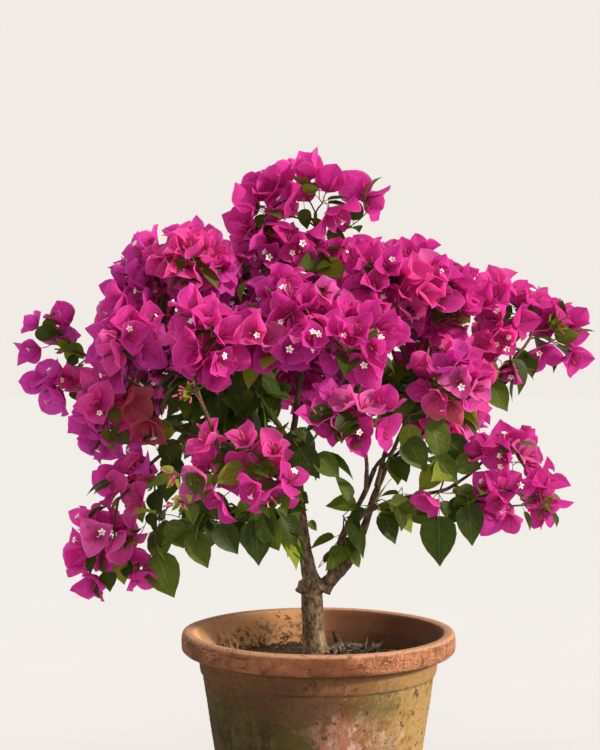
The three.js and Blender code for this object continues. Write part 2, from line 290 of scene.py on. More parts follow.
# ---- materials ----
class Look:
    """A material in the making: its node tree, its pattern's place and its colour so far."""

    def __init__(self, name, colour, label=None, store=bpy.data.materials, space="Object"):
        """label names the map that the patterns lie on; without one they lie in space."""
        self.material = store.new(name)
        self.material.use_nodes = True
        self.tree = self.material.node_tree
        self.tree.nodes.clear()
        self.colour = colour
        self.space = self.node("TexCoord")[space]
        self.place = self.node("UVMap", uv_map=label)[0] if label else self.space
        self.x, self.y, self.z = self.node("SeparateXYZ", (self.place,))

    def node(self, kind, inputs=(), **settings):
        """A new node's outputs. Its inputs come as a row, or by name or number."""
        made = self.tree.nodes.new("ShaderNode" + kind)
        for key, value in settings.items():
            setattr(made, key, value)
        for key, value in inputs.items() if isinstance(inputs, dict) else enumerate(inputs):
            socket = made.inputs[key]
            if isinstance(value, bpy.types.NodeSocket):
                self.tree.links.new(value, socket)
            elif socket.type == "RGBA":
                socket.default_value = (*value, 1.0)
            else:
                socket.default_value = value
        return made.outputs

    def math(self, operation, a, b=0.0, c=0.0):
        return self.node("Math", (a, b, c), operation=operation)[0]

    def times(self, a, b):
        return self.math("MULTIPLY", a, b)

    def scaled(self, a, factor, shift):
        return self.math("MULTIPLY_ADD", a, factor, shift)

    def off(self, value, middle):
        return self.math("ABSOLUTE", self.math("SUBTRACT", value, middle))

    def side(self):
        """0 on a blade's middle line, 1 at its edges."""
        return self.math("ABSOLUTE", self.scaled(self.x, 2.0, -1.0))

    def veins(self, side, count, lean, sharp):
        """Side veins that leave the middle line and lean towards the tip."""
        wave = self.math("SINE", self.scaled(self.y, count, self.times(side, -lean)))
        return self.math("POWER", self.scaled(wave, 0.5, 0.5), sharp)

    def mix(self, share, a, b):
        return self.node("Mix", {0: share, 6: a, 7: b}, data_type="RGBA")[2]

    def step(self, value, low, high):
        """0 below low, 1 above high, smooth between them. low may be above high."""
        return self.node("MapRange", (value, low, high, 0.0, 1.0),
                         interpolation_type="SMOOTHSTEP")[0]

    def noise(self, scale, detail=3.0, rough=0.55, stretch=None, place=None):
        place = place or self.place
        if stretch:
            place = self.node("Mapping", {"Vector": place, "Scale": stretch})[0]
        return self.node("TexNoise", {"Vector": place, "Scale": scale, "Detail": detail,
                                      "Roughness": rough})[0]

    def lay(self, over, share, *masks):
        """Lays a colour over what is there. A mask is a value, or a step as (value, low, high)."""
        for mask in masks:
            mask = self.step(*mask) if isinstance(mask, tuple) else mask
            share = mask if isinstance(share, int) else self.times(mask, share)
        self.colour = self.mix(share, self.colour, over)

    def finish(self, roughness, specular, bump=None, through=None, share=0.0):
        """bump is a height, its depth in mm and its strength; through shines from behind."""
        normal = {}
        if bump:
            height, depth, strength = bump
            normal["Normal"] = self.node("Bump", {"Height": height, "Distance": depth * MM,
                                                  "Strength": strength})[0]
        surface = self.node("BsdfPrincipled", {
            "Base Color": self.colour, "Roughness": roughness, "Specular IOR Level": specular,
            **normal})[0]
        if through:
            back = self.node("BsdfTranslucent", {"Color": through, **normal})[0]
            surface = self.node("MixShader", (share, surface, back))[0]
        self.node("OutputMaterial", {"Surface": surface})
        return self.material


def bract_look(name, tint, deep, pale):
    """Papery bract: darker at its foot and along its veins, and a painted highlight that makes it
    paler at its edge.
    """
    look = Look(name, tint, "blade")
    along, side = look.y, look.side()
    look.lay(deep, 0.7, (along, 0.4, 0.02))
    vein = look.times(look.veins(side, 40, 15, 7), look.step(side, 0.95, 0.1))
    look.lay(deep, 0.22, vein)
    # painted highlight: paler all round the edge
    look.lay(pale, 0.6, (side, 0.8, 1))
    middle = look.times(look.step(side, 0.07, 0.02), look.step(along, 0.85, 0.35))
    look.lay([0.6 * c for c in deep], 0.4, middle)
    look.lay(pale, 0.25, (look.noise(4), 0.35, 0.75))
    height = look.scaled(vein, -0.5, look.noise(13, 4, 0.6))
    return look.finish(0.62, 0.18, (height, 0.7, 0.7), look.colour, 0.58)


def leaf_look(name, tint, deep, pale, through):
    """Green blade: paler midrib and side veins, a little gloss."""
    look = Look(name, deep, "blade")
    side = look.side()
    vein = look.times(look.veins(side, 46, 17, 12), look.step(side, 1, 0.3))
    middle = look.step(side, 0.07, 0.02)
    look.lay(tint, 1, (look.noise(5, 4), 0.35, 0.7))
    look.lay(pale, 0.3, vein)
    look.lay(pale, 0.6, middle)
    height = look.times(look.math("MAXIMUM", vein, middle), -1)
    return look.finish(0.48, 0.16, (height, 0.5, 0.5), through, 0.25)


def shoot_look(name, tint, deep):
    """Thin bark that darkens in streaks."""
    look = Look(name, deep, "blade")
    streak = look.noise(9, 4, 0.6, (2, 6, 1))
    look.lay(tint, 1, (streak, 0.35, 0.65))
    return look.finish(0.7, 0.3, (streak, 0.3, 0.5))


def star_look(name):
    """White open flower with a green-yellow eye."""
    look = Look(name, (0.86, 0.8, 0.74), "blade")
    look.lay((0.42, 0.45, 0.1), 1, (look.y, 0.34, 0.16))
    look.lay((0.1, 0.12, 0.03), 1, (look.y, 0.17, 0.05))
    look.lay((0.93, 0.72, 0.8), 0.4, (look.y, 0.8, 1))
    return look.finish(0.55, 0.3, (look.noise(12), 0.2, 0.4))


def tube_look(name, foot, belly, tip):
    """Flower tube: its colour runs from foot to tip."""
    look = Look(name, foot, "blade")
    look.lay(belly, 1, (look.y, 0, 0.5))
    look.lay(tip, 1, (look.y, 0.6, 0.95))
    rib = look.noise(8, 2, 0.5, (4, 1, 1))
    look.lay(belly, 0.3, rib)
    return look.finish(0.6, 0.3, (rib, 0.2, 0.4))


def bark_look():
    """Rough grey-brown bark, speckled pale and dark, darker and redder where it's young."""
    look = Look("bark", (0.052, 0.032, 0.018))
    grain = look.noise(280, 6, 0.7, (1, 1, 0.5))
    patch = look.noise(70, 5, 0.7, (1, 1, 0.6))
    look.lay((0.215, 0.145, 0.088), 1, (grain, 0.38, 0.62))
    look.lay((0.42, 0.32, 0.22), 0.6, (patch, 0.48, 0.66))
    look.lay((0.04, 0.026, 0.016), 0.55, (look.noise(800, 3, 0.6), 0.6, 0.7))
    look.lay((0.062, 0.033, 0.019), 0.85, (look.z, 0.42, 0.54))
    height = look.scaled(grain, 0.7, look.times(patch, 0.3))
    return look.finish(look.scaled(grain, -0.15, 0.92), 0.18, (height, 0.9, 0.8))


def earth_look(name, dark, light, depth, strength, dry=None):
    look = Look(name, dark)
    grain = look.noise(300, 6, 0.75)
    look.lay(light, 1, (grain, 0.38, 0.66))
    if dry:
        look.lay(dry, 0.6, (look.noise(50, 4, 0.6), 0.5, 0.7))
    return look.finish(0.95, 0.15, (grain, depth, strength))


def chip_look():
    look = Look("bark_chip", None, "blade")
    grain = look.noise(7, 5, 0.7, (5, 1, 1))
    body = look.step(look.noise(60, 2, place=look.space), 0.42, 0.58)
    look.colour = look.mix(body, (0.02, 0.014, 0.01), (0.075, 0.05, 0.034))
    pale = look.mix(body, (0.1, 0.07, 0.048), (0.27, 0.21, 0.155))
    look.lay(pale, 1, (grain, 0.38, 0.62))
    return look.finish(0.85, 0.25, (grain, 0.8, 0.8))


# ---- blades: bracts and leaves ----
# Each outline: place along the blade, half width there as a share of the widest.
BRACT_OUTLINE = ((0, 0.2), (0.05, 0.58), (0.15, 0.88), (0.3, 1), (0.46, 0.99),
                 (0.62, 0.87), (0.77, 0.61), (0.89, 0.28), (1, 0))
LEAF_OUTLINE = ((0, 0.22), (0.05, 0.64), (0.16, 0.93), (0.34, 1), (0.52, 0.88),
                (0.69, 0.62), (0.84, 0.28), (1, 0))


class Blade:
    """A blade's grid of rows and columns, shared by every bract or leaf of its kind."""

    def __init__(self, outline, columns):
        self.steps, widths = np.array(outline, float).T
        rows = len(outline) - 1
        self.row = np.r_[np.repeat(np.arange(rows), columns), rows]
        self.u, self.w = self.steps[self.row], widths[self.row]
        self.v = np.r_[np.tile(np.linspace(-1, 1, columns), rows), 0.0]
        last, tip = rows * columns - columns + np.arange(columns), rows * columns
        self.triangles = np.concatenate([grid_faces(rows, columns), fan(last, tip)[:-1]])
        self.tile = np.stack([0.5 + 0.46 * self.v * self.w, 0.03 + 0.94 * self.u], 1)
        self.blade = np.stack([0.5 + 0.5 * self.v, self.u], 1)

    def bend(self, place, rows, length, width, ranges):
        """n bent blades (n, vertices, 3), each with its place, its frame and its own size.

        ranges are of curl and tip, which turn the blade towards its face along its length, of
        fold, which raises its two halves (in degrees), of cup, which bows it across, and of
        wave, which ruffles its edges.
        """
        n = len(length)
        curl, tip, fold, cup, wave = (between(*ends, n)[:, None] for ends in ranges)
        length, width, fold = length[:, None], width[:, None], np.radians(fold)
        turn = curl * self.steps + tip * self.steps ** 4
        half, gaps = (turn[:, :-1] + turn[:, 1:]) / 2, np.diff(self.steps)
        forward, rise = (np.c_[np.zeros(n), np.cumsum(part * gaps, axis=1)] * length
                         for part in (np.cos(half), np.sin(half)))
        turn, forward, rise = turn[:, self.row], forward[:, self.row], rise[:, self.row]
        side = np.abs(self.v)
        span = width / 2 * self.w
        phase = rng.uniform(0, TAU, (n, 2))[:, (self.v > 0).astype(int)]
        ruffle = np.sin(TAU * (1.1 + 0.5 * np.sin(phase)) * self.u + phase)
        lift = span * (np.sin(fold) * side + cup * side ** 2)
        lift += width * wave * ruffle * side ** 2 * np.sqrt(self.w)
        local = np.stack([span * self.v * np.cos(fold), forward - lift * np.sin(turn),
                          rise + lift * np.cos(turn)], axis=-1)
        return placed(local, rows, place)


BRACT = Blade(BRACT_OUTLINE, 7)
LEAF = Blade(LEAF_OUTLINE, 5)


# ---- where flowers and leaves sit ----
def box_of(name):
    """Middle and half size of a node's CAD box."""
    low, high = (np.array(tuple(corner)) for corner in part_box(name))
    return (low + high) / 2, (high - low) / 2


def in_box(name, shares):
    middle, half = box_of(name)
    return middle + half * shares


MIDDLES, HALVES = map(np.array, zip(*map(box_of, MASSES)))


def depths(places, middles=MIDDLES, halves=HALVES):
    """How far out each place lies in each ellipsoid: below 1 inside, squared."""
    return (((places[:, None] - middles) / halves) ** 2).sum(-1)


def belongs(owners, names):
    return np.isin(owners, [MASSES.index(name) for name in names])


SAMPLE_GAP = 7 * MM
COVERED = 0.92  # of depths: a point this deep in another mass is covered by it


def shell_points(names, reach):
    """Many even random points on the outside of the named masses: place, normal, mass index.

    Points that face into another mass within reach are left out.
    """
    found = []
    for name in names:
        points, triangles = mesh_arrays(name)
        a, b, c = points[triangles].transpose(1, 0, 2)
        cross = np.cross(b - a, c - a)
        area = np.linalg.norm(cross, axis=1) / 2
        n = int(area.sum() / SAMPLE_GAP ** 2)
        pick = rng.choice(len(area), n, p=area / area.sum())
        r, s = rng.uniform(size=(2, n, 1))
        r = np.sqrt(r)
        found.append((a[pick] * (1 - r) + b[pick] * r * (1 - s) + c[pick] * r * s,
                      unit(cross[pick]), np.full(n, MASSES.index(name))))
    places, normals, owners = map(np.concatenate, zip(*found))
    inside = depths(places + reach * normals) < COVERED
    inside[np.arange(len(owners)), owners] = False
    open_air = ~inside.any(1)
    return places[open_air], normals[open_air], owners[open_air]


def thinned(places, spacing, taken=()):
    """Indices of places that keep at least spacing from each other and from taken."""
    tree = kdtree.KDTree(len(places))
    for i, p in enumerate(places):
        tree.insert(p, i)
    tree.balance()
    free = np.ones(len(places), bool)

    def take(p):
        for _, i, _ in tree.find_range(p, spacing):
            free[i] = False

    for p in taken:
        take(p)
    kept = []
    for i in rng.permutation(len(places)):
        if free[i]:
            kept.append(i)
            take(places[i])
    return np.array(kept, int)


# ---- the growing rule ----
TWIG_STEP = 10 * MM
PATH_COST, TURN_COST = 0.35, 0.7  # of the way back to the trunk, and of growing backward
TIP_RADIUS, TWIG_MOST, PIPE_POWER = 0.55 * MM, 2.4 * MM, 2.3
SWING, OLD_WAY, NEW_WAY = 0.7, 0.6, 0.5  # how far a twig keeps its ways at its two ends
WANDER, STALK_BEND = 0.05, 0.12  # sideways, as shares of their lengths


class Tree:
    """Twigs that grow from the limbs. Each new twig leaves the branch that reaches its goal
    by the shortest way, counting part of the way back to the trunk, so that twigs share it."""

    def __init__(self):
        self.columns = [[] for _ in range(7)]
        (self.place, self.way, self.parent, self.path, self.on_limb, self.radius,
         self.open) = self.columns

    def add(self, *values, on_limb=False, is_open=True):
        """A node from its place, way, parent and path. thicken gives it its radius."""
        for column, value in zip(self.columns, (*values, on_limb, 0.0, is_open)):
            column.append(value)
        return len(self.place) - 1

    def grow(self, goals, arrivals, stalks):
        """Reaches each goal, arriving along arrivals with a stalk. Returns the end nodes."""
        aims = goals - arrivals * stalks[:, None]
        n = len(aims)
        waiting, best = np.ones(n, bool), np.full(n, np.inf)
        source, ends = np.zeros(n, int), np.zeros(n, int)

        def offer(nodes):
            at, way, path = (np.array([column[i] for i in nodes])
                             for column in (self.place, self.way, self.path))
            gap = aims[:, None] - at
            far = np.linalg.norm(gap, axis=-1)
            ahead = (gap * way).sum(-1) / np.maximum(far, 1e-9)
            cost = far * (1 + TURN_COST * (1 - ahead) / 2) + PATH_COST * path
            pick = cost.argmin(1)
            value = cost[np.arange(n), pick]
            better = value < best
            best[better] = value[better]
            source[better] = np.array(nodes)[pick[better]]

        offer(range(len(self.place)))
        for _ in range(n):
            i = int(np.where(waiting, best, np.inf).argmin())
            waiting[i] = False
            made, ends[i] = self.twig(source[i], aims[i], goals[i], arrivals[i])
            offer(made)
        return ends

    def twig(self, start, aim, goal, arrival):
        """A smooth bent twig from a node to its aim, and a stalk on to its goal."""
        foot, way, path = self.place[start], self.way[start], self.path[start]
        gap = aim - foot
        far = np.linalg.norm(gap)
        n = max(1, int(round(far / TWIG_STEP)))
        direct = gap / max(far, 1e-9)
        leaving = far * SWING * unit(OLD_WAY * way + direct)
        arriving = far * SWING * unit(NEW_WAY * arrival + direct)
        wander = WANDER * far * scatter(1)[0]
        made, last, previous = [], start, foot
        for s in np.arange(1, n + 1) / n:
            place = ((1 + 2 * s) * (1 - s) ** 2 * foot + s * (1 - s) ** 2 * leaving
                     + s * s * (3 - 2 * s) * aim + s * s * (s - 1) * arriving)
            place = place + wander * math.sin(math.pi * s)
            path += np.linalg.norm(place - previous)
            last = self.add(place, unit(place - previous), last, path)
            made.append(last)
            previous = place
        stalk = goal - aim
        if np.linalg.norm(stalk) > 1 * MM:
            middle = (aim + goal) / 2 + STALK_BEND * np.linalg.norm(stalk) * scatter(1)[0]
            last = self.add(middle, unit(stalk), last, path, is_open=False)
            last = self.add(goal, arrival, last, path, is_open=False)
        return made, last

    def thicken(self):
        """Pipe rule: a branch is as thick as what it carries."""
        load = np.zeros(len(self.place))
        for i in range(len(self.place) - 1, -1, -1):
            if not self.on_limb[i]:
                load[i] += TIP_RADIUS ** PIPE_POWER if load[i] == 0 else 0
                self.radius[i] = min(load[i] ** (1 / PIPE_POWER), TWIG_MOST)
                load[self.parent[i]] += load[i]

    def chains(self):
        """Each branch as the nodes from the one it leaves to its tip."""
        children = {}
        for i, parent in enumerate(self.parent):
            if parent >= 0:
                children.setdefault(parent, []).append(i)
        heads = []
        for parent, born in children.items():
            born.sort(key=lambda i: -self.radius[i])
            heads += born if self.on_limb[parent] else born[1:]
        for head in heads:
            chain = [self.parent[head], head]
            while chain[-1] in children:
                chain.append(children[chain[-1]][0])
            yield chain


# ---- camera, floor and light ----
CAMERA_PLACE, LENS, SENSOR = (-0.023, -1.75, 0.617), 67.34, 36.0
AMBIENT, BACKDROP_STRENGTH = 0.84, 0.92
BACKDROP_SPAN = (0.72, 0.9)  # where the light turns into the backdrop, towards +Y
BACKDROP = (0.95, 0.905, 0.85)
FLOOR_SIZE, FAR_FLOOR = 40.0, (0.565, 0.59, 0.625)
FLOOR_TINTS = ((0.56, 0.585, 0.62), (0.59, 0.615, 0.65))
SUN = {"azimuth": 63, "height": 27, "strength": 5.3, "angle": 8, "colour": (1.0, 0.88, 0.74)}


def stage():
    scene = bpy.context.scene
    scene.view_settings.view_transform = "Standard"
    camera = link(bpy.data.objects.new("camera", bpy.data.cameras.new("camera")))
    camera.data.lens, camera.data.sensor_width = LENS, SENSOR
    camera.location, camera.rotation_euler = CAMERA_PLACE, (math.pi / 2, 0, 0)
    scene.camera = camera

    look = Look("floor", None)
    look.colour = look.mix(look.noise(3, 2), *FLOOR_TINTS)
    radius = look.node("VectorMath", (look.place,), operation="LENGTH")["Value"]
    look.lay(FAR_FLOOR, 1, (radius, 0.5, 4))
    mesh = bpy.data.meshes.new("floor")
    corners = ((-1, -1, 0), (1, -1, 0), (1, 1, 0), (-1, 1, 0))
    mesh.from_pydata([FLOOR_SIZE * Vector(corner) for corner in corners], [], [range(4)])
    mesh.materials.append(look.finish(1.0, 0.0))
    link(bpy.data.objects.new("floor", mesh))

    sky = Look("world", BACKDROP, store=bpy.data.worlds, space="Generated")
    strength = sky.node("MapRange", (sky.y, *BACKDROP_SPAN, AMBIENT, BACKDROP_STRENGTH))[0]
    sky.node("OutputWorld", {"Surface": sky.node("Background", (BACKDROP, strength))[0]})
    scene.world = sky.material
    light = bpy.data.lights.new("key", "SUN")
    light.energy, light.color = SUN["strength"], SUN["colour"]
    light.angle = math.radians(SUN["angle"])
    lamp = link(bpy.data.objects.new("key", light))
    lamp.rotation_euler = (math.radians(90 - SUN["height"]), 0, math.radians(SUN["azimuth"]))


# ---- flowers ----
# A flower is a triad: three bracts open round one axis, each with a true flower at its foot.
TRIAD_SPACING = 16.5 * MM
CLEFT_SPACING, INNER_SPACING = 1.15, 1.6  # of the flowers in clefts and inside, times that
TRIAD_INSET = 25.5 * MM
TRIAD_REACH = 13 * MM  # from a flower's base to its middle
BRACT_LENGTH = (27 * MM, 35 * MM)
BRACT_WIDTH = 0.94
BRACT_FOOT, TUBE_FOOT = 1.3 * MM, 1.2 * MM  # from a flower's axis
# Ranges of curl, tip, fold, cup and wave.
BRACT_BEND = ((-0.55, 0.45), (-0.8, 0.4), (0, 18), (0, 0.42), (0.04, 0.13))
TUBE_LENGTH = (15 * MM, 20 * MM)
FLOWER_COVER = 10 * MM  # no flower where another mass is this near
TUFT_SHARE = 0.05  # of the flowers of the rule that the tufts keep
DEEP = 50 * MM  # how far inside the shell the inner flowers sit
CLEFT_TRIES = 9000
# How far out of the nearest mass, and of the next, a cleft's points are.
CLEFT_NEAR, CLEFT_NEXT = (-20 * MM, 6 * MM), 12 * MM
OPENING = (18, 52)  # how far bracts open, in degrees
SIZES, SET_SIZE_SPREAD = (0.82, 1.08), (0.92, 1.08)
DOME_HEART = np.array([-0.02, 0.03, 0.6])

# Ways are spelt with L and R for left and right, F and B for front and back, U and D for up and
# down, once or more each.
WAYS = {"L": (-1, 0, 0), "R": (1, 0, 0), "F": (0, -1, 0), "B": (0, 1, 0), "U": (0, 0, 1),
        "D": (0, 0, -1)}

# Flowers listed one by one on the sprays that stand out: where in the mass's box, as shares of its
# half
# sizes from its middle, where the flower faces and how far its bracts open, in degrees.
SET_FLOWERS = {
    "tuft_left": (
        (-0.48, -0.2, 0, "LLUB", 44), (-0.12, 0.1, 0.45, "UUL", 32), (0.42, -0.1, 0.72, "ULU", 34),
        (-0.4, 0.2, -0.85, "LF", 45), (0.55, -0.4, 0.05, "FUL", 38), (0.1, -0.2, 0.4, "UFL", 38),
        (0.1, 0.1, -0.75, "FD", 44), (-0.55, 0.1, -0.42, "LF", 42), (0.32, -0.2, -0.52, "FD", 42),
    ),
    "tuft_middle": (
        (-0.22, -0.2, 0.45, "UUULF", 24), (0.52, -0.1, 0.12, "RUU", 28),
        (0.68, -0.5, -0.7, "FRD", 42),
    ),
    "tuft_right": ((-0.05, -0.2, 0.3, "UUL", 28), (0.45, 0.1, -0.1, "RRD", 36)),
    "left_tip_upper": ((0.5, -0.2, 0.62, "UULF", 24), (-0.55, 0, -0.5, "LLFD", 30)),
    "left_tip_lower": (
        (0.05, 0, 0.3, "LUF", 34), (0.15, -0.2, -0.5, "LDF", 40), (0.7, -0.1, 0.1, "F", 30),
    ),
    "left_side": (
        (0.1, -0.4, 0.95, "FLU", 45), (0.4, -0.7, 0.6, "FL", 45), (-0.2, -0.3, 0.3, "LF", 45),
        (-0.4, -0.4, -0.25, "LFD", 45), (-0.1, -0.2, -0.6, "LDF", 40), (0, -0.7, 0.05, "F", 48),
        (1, -0.4, 0.1, "FRD", 46, "old"), (0.75, -0.2, -0.35, "FRD", 46),
    ),
    "lower_left_crest": (
        (0.3, -0.4, 0.65, "FLU", 55), (-0.4, 0, -0.15, "LFU", 55), (0.3, -0.5, -0.55, "FL", 48),
        (0.75, -0.3, 1.5, "FD", 44, "old"),
    ),
    "lower_left_tip": (
        (-0.4, -0.2, 0.65, "LUF", 45), (0.45, -0.4, 0.1, "FRD", 48), (-0.55, 0.1, 0, "LF", 45),
        (-0.25, -0.2, -0.8, "LDF", 42), (0.85, 0.1, -0.7, "FRD", 40), (-0.1, -0.6, 0.3, "F", 46),
        (-0.1, 0.6, -0.1, "BLD", 45),
    ),
    "right_shoulder": (
        (-0.35, -0.3, 0.2, "UF", 40), (0.15, -0.1, 0.35, "UFR", 38), (-2, 0, 1.45, "UF", 36),
        (-2.35, -0.3, 1.35, "FU", 42), (-2.65, 0.1, 1.45, "UUF", 34), (0.5, -0.2, 0.1, "RUF", 40),
        (-0.3, -0.7, -0.95, "FD", 48), (0.15, -0.5, -0.5, "FR", 45), (-0.75, -0.6, 0.1, "FU", 45),
        (-0.5, -0.7, -0.4, "FLU", 45), (0.8, 0.3, -0.2, "RBU", 45),
    ),
    "right_tip": (
        (0, -0.1, 0.65, "RUF", 42), (0.36, -0.2, -0.55, "RFD", 46), (-0.85, -0.4, -0.45, "FD", 50),
        (0.3, 0.4, 0.1, "RB", 42), (-0.5, 0.2, 0.3, "UB", 40),
    ),
    "right_underside": (
        (-0.4, -0.2, 0, "FDL", 30), (-1.1, -0.6, 0.55, "FLU", 44), (-0.7, -0.8, 0.8, "F", 46),
        (-1.6, -0.9, 0.75, "FU", 44), (-1.3, -0.4, 1.05, "UF", 42),
    ),
    "right_side": (
        (0.15, -0.6, 0.6, "FUR", 45), (0.05, -0.8, 0, "F", 48), (0.5, -0.6, -0.15, "FR", 44),
        (-0.4, -0.6, -0.4, "FLD", 44, "rose"), (-0.1, -0.5, -0.6, "FD", 44, "old"),
        (-0.25, -0.8, 0.35, "FLU", 45), (0.4, -0.6, 0.3, "FRU", 42),
    ),
    "lower_right_crest": (
        (-0.7, -0.3, -0.1, "LFU", 42), (0, -0.1, 0.3, "UF", 42), (-0.2, -0.5, -0.5, "FL", 50),
        (0.5, -0.2, -0.2, "RUF", 45), (0.7, 0, -0.75, "RF", 45), (0.1, 0.6, 0, "BU", 45),
    ),
    "lower_right_outer": (
        (0.2, -0.2, 0.5, "RFU", 46), (0.3, -0.3, -0.3, "RDF", 48), (0.1, 0.5, 0, "RB", 45),
    ),
    "lower_right_inner": (
        (0.15, -0.3, 0.6, "FU", 48), (0.8, -0.3, 0.45, "FR", 46), (0.4, -0.3, -0.5, "DF", 46),
        (-0.1, -0.4, 0, "FLD", 46), (-0.5, 0, 0.6, "LFU", 42), (0.2, 0.5, -0.2, "BD", 45),
    ),
    "right_fringe": ((-0.1, -0.4, 0.5, "FDL", 50),),
    "front_low_left": (
        (-0.25, -0.3, 0.6, "FLU", 50), (0.85, -0.3, 0.65, "FUUL", 52),
        (-0.5, -0.2, -0.3, "LF", 50), (0.05, -0.3, -0.7, "FDL", 48),
    ),
    "front_low_middle": (
        (0, -0.2, 0.5, "FU", 50), (-0.7, -0.3, -0.45, "FLD", 50), (-0.1, -0.4, -0.6, "FDR", 52),
        (0.5, -0.3, -0.1, "FRU", 60),
    ),
    "front_low_right": (
        (-0.65, -0.3, 0.15, "FU", 55), (-0.4, -0.2, -0.45, "FDL", 44), (0.05, -0.3, -0.5, "F", 52),
        (0.6, -0.3, -0.35, "FR", 50), (-0.2, -0.4, 0.5, "FUL", 50), (0.3, -0.3, 0.35, "FRU", 48),
    ),
}
SPARSE = [name for name in SET_FLOWERS if name in BLOOM]

# Places that carry no flower of their own: middle and half sizes in metres.
CLEARINGS = np.array((
    ((0.014, -0.03, 0.79), (0.045, 0.1, 0.026)), ((0.195, -0.04, 0.768), (0.085, 0.12, 0.03)),
    ((-0.3, 0.0, 0.745), (0.05, 0.13, 0.075)), ((-0.235, 0.0, 0.798), (0.05, 0.12, 0.032)),
)).transpose(1, 0, 2)

# How large the listed flowers are on some masses, and elsewhere.
SET_SIZES = {"tuft": 1.32, "left_tip": 1.18, "left_side": 1.12, "lower_left": 1.14,
             "right_tip": 1.1, "": 0.95}


def way_of(letters):
    return unit(np.sum([WAYS[letter] for letter in letters], axis=0).astype(float))


def set_rows(table):
    """Each row of a table with its mass's name and its place."""
    for name, rows in table.items():
        for x, y, z, *rest in rows:
            yield name, in_box(name, (x, y, z)), rest


def set_flowers():
    """Middles, facings, openings, sizes and tints of the listed flowers."""
    found = []
    for name, place, (way, opened, *tint) in set_rows(SET_FLOWERS):
        size = next(size for start, size in SET_SIZES.items() if name.startswith(start))
        found.append((place, way_of(way), opened, size, tint[0] if tint else ""))
    places, facing, opening, sizes, tints = zip(*found)
    facing = loose(np.array(facing), 0.15)
    return np.array(places), facing, np.radians(opening), np.array(sizes), tints


def uncleared(places):
    return (depths(places, *CLEARINGS) > 1).all(1)


def cleft_points():
    """Points in the clefts between the masses of the dome."""
    rows = [MASSES.index(name) for name in BLOOM if name not in SPARSE]
    middles, halves = MIDDLES[rows], HALVES[rows]
    low, high = (middles - halves).min(0), (middles + halves).max(0)
    places = low + (high - low) * rng.uniform(size=(CLEFT_TRIES, 3))
    shares = np.sqrt(depths(places, middles, halves)) - 1
    first, second = np.sort(shares * halves.min(1), axis=1).T[:2]
    low, high = CLEFT_NEAR
    places = places[(first > low) & (first < high) & (second < CLEFT_NEXT)]
    return places[uncleared(places)]


def flower_sites():
    """Bases, facings, openings, sizes and given tints of all the flowers."""
    middles, facing_set, opening_set, sizes, tints = set_flowers()
    bases_set = middles - TRIAD_REACH * facing_set
    places, normals, owners = shell_points(BLOOM, FLOWER_COVER)
    away = unit(normals + unit(places - MIDDLES[owners]))
    keep = rng.uniform(size=len(places)) < np.clip(1.25 + 0.9 * normals[:, 2], 0.25, 1)
    keep &= ~belongs(owners, SPARSE) | (away[:, 1] > 0.25)
    tuft = belongs(owners, [name for name in MASSES if name.startswith("tuft")])
    keep &= ~tuft | (rng.uniform(size=len(places)) < TUFT_SHARE)
    keep &= uncleared(places)
    places, away = places[keep], away[keep]
    bases = places - (TRIAD_INSET * between(0.8, 1.25, len(places)))[:, None] * away
    pick = thinned(bases, TRIAD_SPACING, bases_set)
    facing = loose(0.9 * away[pick] + 0.35 * UP, 0.55)
    deep = places - DEEP * away
    within = (depths(deep) < 0.5).any(1)
    deep, away = deep[within], away[within]
    taken = np.concatenate([bases_set, bases[pick]])
    clefts = cleft_points()
    clefts = clefts[thinned(clefts, CLEFT_SPACING * TRIAD_SPACING, taken)]
    taken = np.concatenate([taken, clefts])
    facing_cleft = loose(unit(clefts - DOME_HEART), 0.6)
    inner = thinned(deep, INNER_SPACING * TRIAD_SPACING, taken)
    facing_in = loose(away[inner], 0.9)
    n = len(pick) + len(clefts) + len(inner)
    return (np.concatenate([taken, deep[inner]]),
            np.concatenate([facing_set, facing, facing_cleft, facing_in]),
            np.concatenate([opening_set, np.radians(between(*OPENING, n))]),
            np.concatenate([sizes * between(*SET_SIZE_SPREAD, len(sizes)), between(*SIZES, n)]),
            np.array([*tints] + [""] * n))


def add_flowers(bases, facing, opening, size, given, batches, tubes, buds, stars):
    n = len(bases)
    side = frames(facing, scatter(n))[:, 2]
    other = np.cross(facing, side)
    spray, shade = field(bases, 14), field(bases + 5 / 9, 9)
    tint = np.full(n, "bright", "<U6")
    # violet goes mostly to the left, as painted shade on the side away from the light
    for name, where in (("deep", spray < -0.12), ("violet", shade - 1.2 * bases[:, 0] > 0.22),
                        ("rose", spray > 0.2), ("pale", rng.uniform(size=n) < 0.07)):
        tint[where] = name
    tint = np.where(given != "", given, tint)
    roll = rng.uniform(0, TAU, n)
    for j in range(3):
        turn = roll + j * TAU / 3 + between(-0.25, 0.25, n)
        outward = np.cos(turn)[:, None] * side + np.sin(turn)[:, None] * other
        lean = (opening + np.radians(between(-10, 14, n)))[:, None]
        forward = np.cos(lean) * facing + np.sin(lean) * outward
        inner = np.sin(lean) * facing - np.cos(lean) * outward
        rows = frames(forward, inner + 0.12 * scatter(n))
        length = between(*BRACT_LENGTH, n) * size
        width = length * BRACT_WIDTH * between(0.9, 1.08, n)
        bracts = BRACT.bend(bases + BRACT_FOOT * outward, rows, length, width, BRACT_BEND)
        for name, batch in batches.items():
            batch.add(bracts[tint == name], BRACT.triangles, BRACT.tile, BRACT.blade)
        add_true_flowers(bases + TUBE_FOOT * outward, loose(facing + 0.3 * outward, 0.12),
                         between(*TUBE_LENGTH, n) * size, tubes, buds, stars)


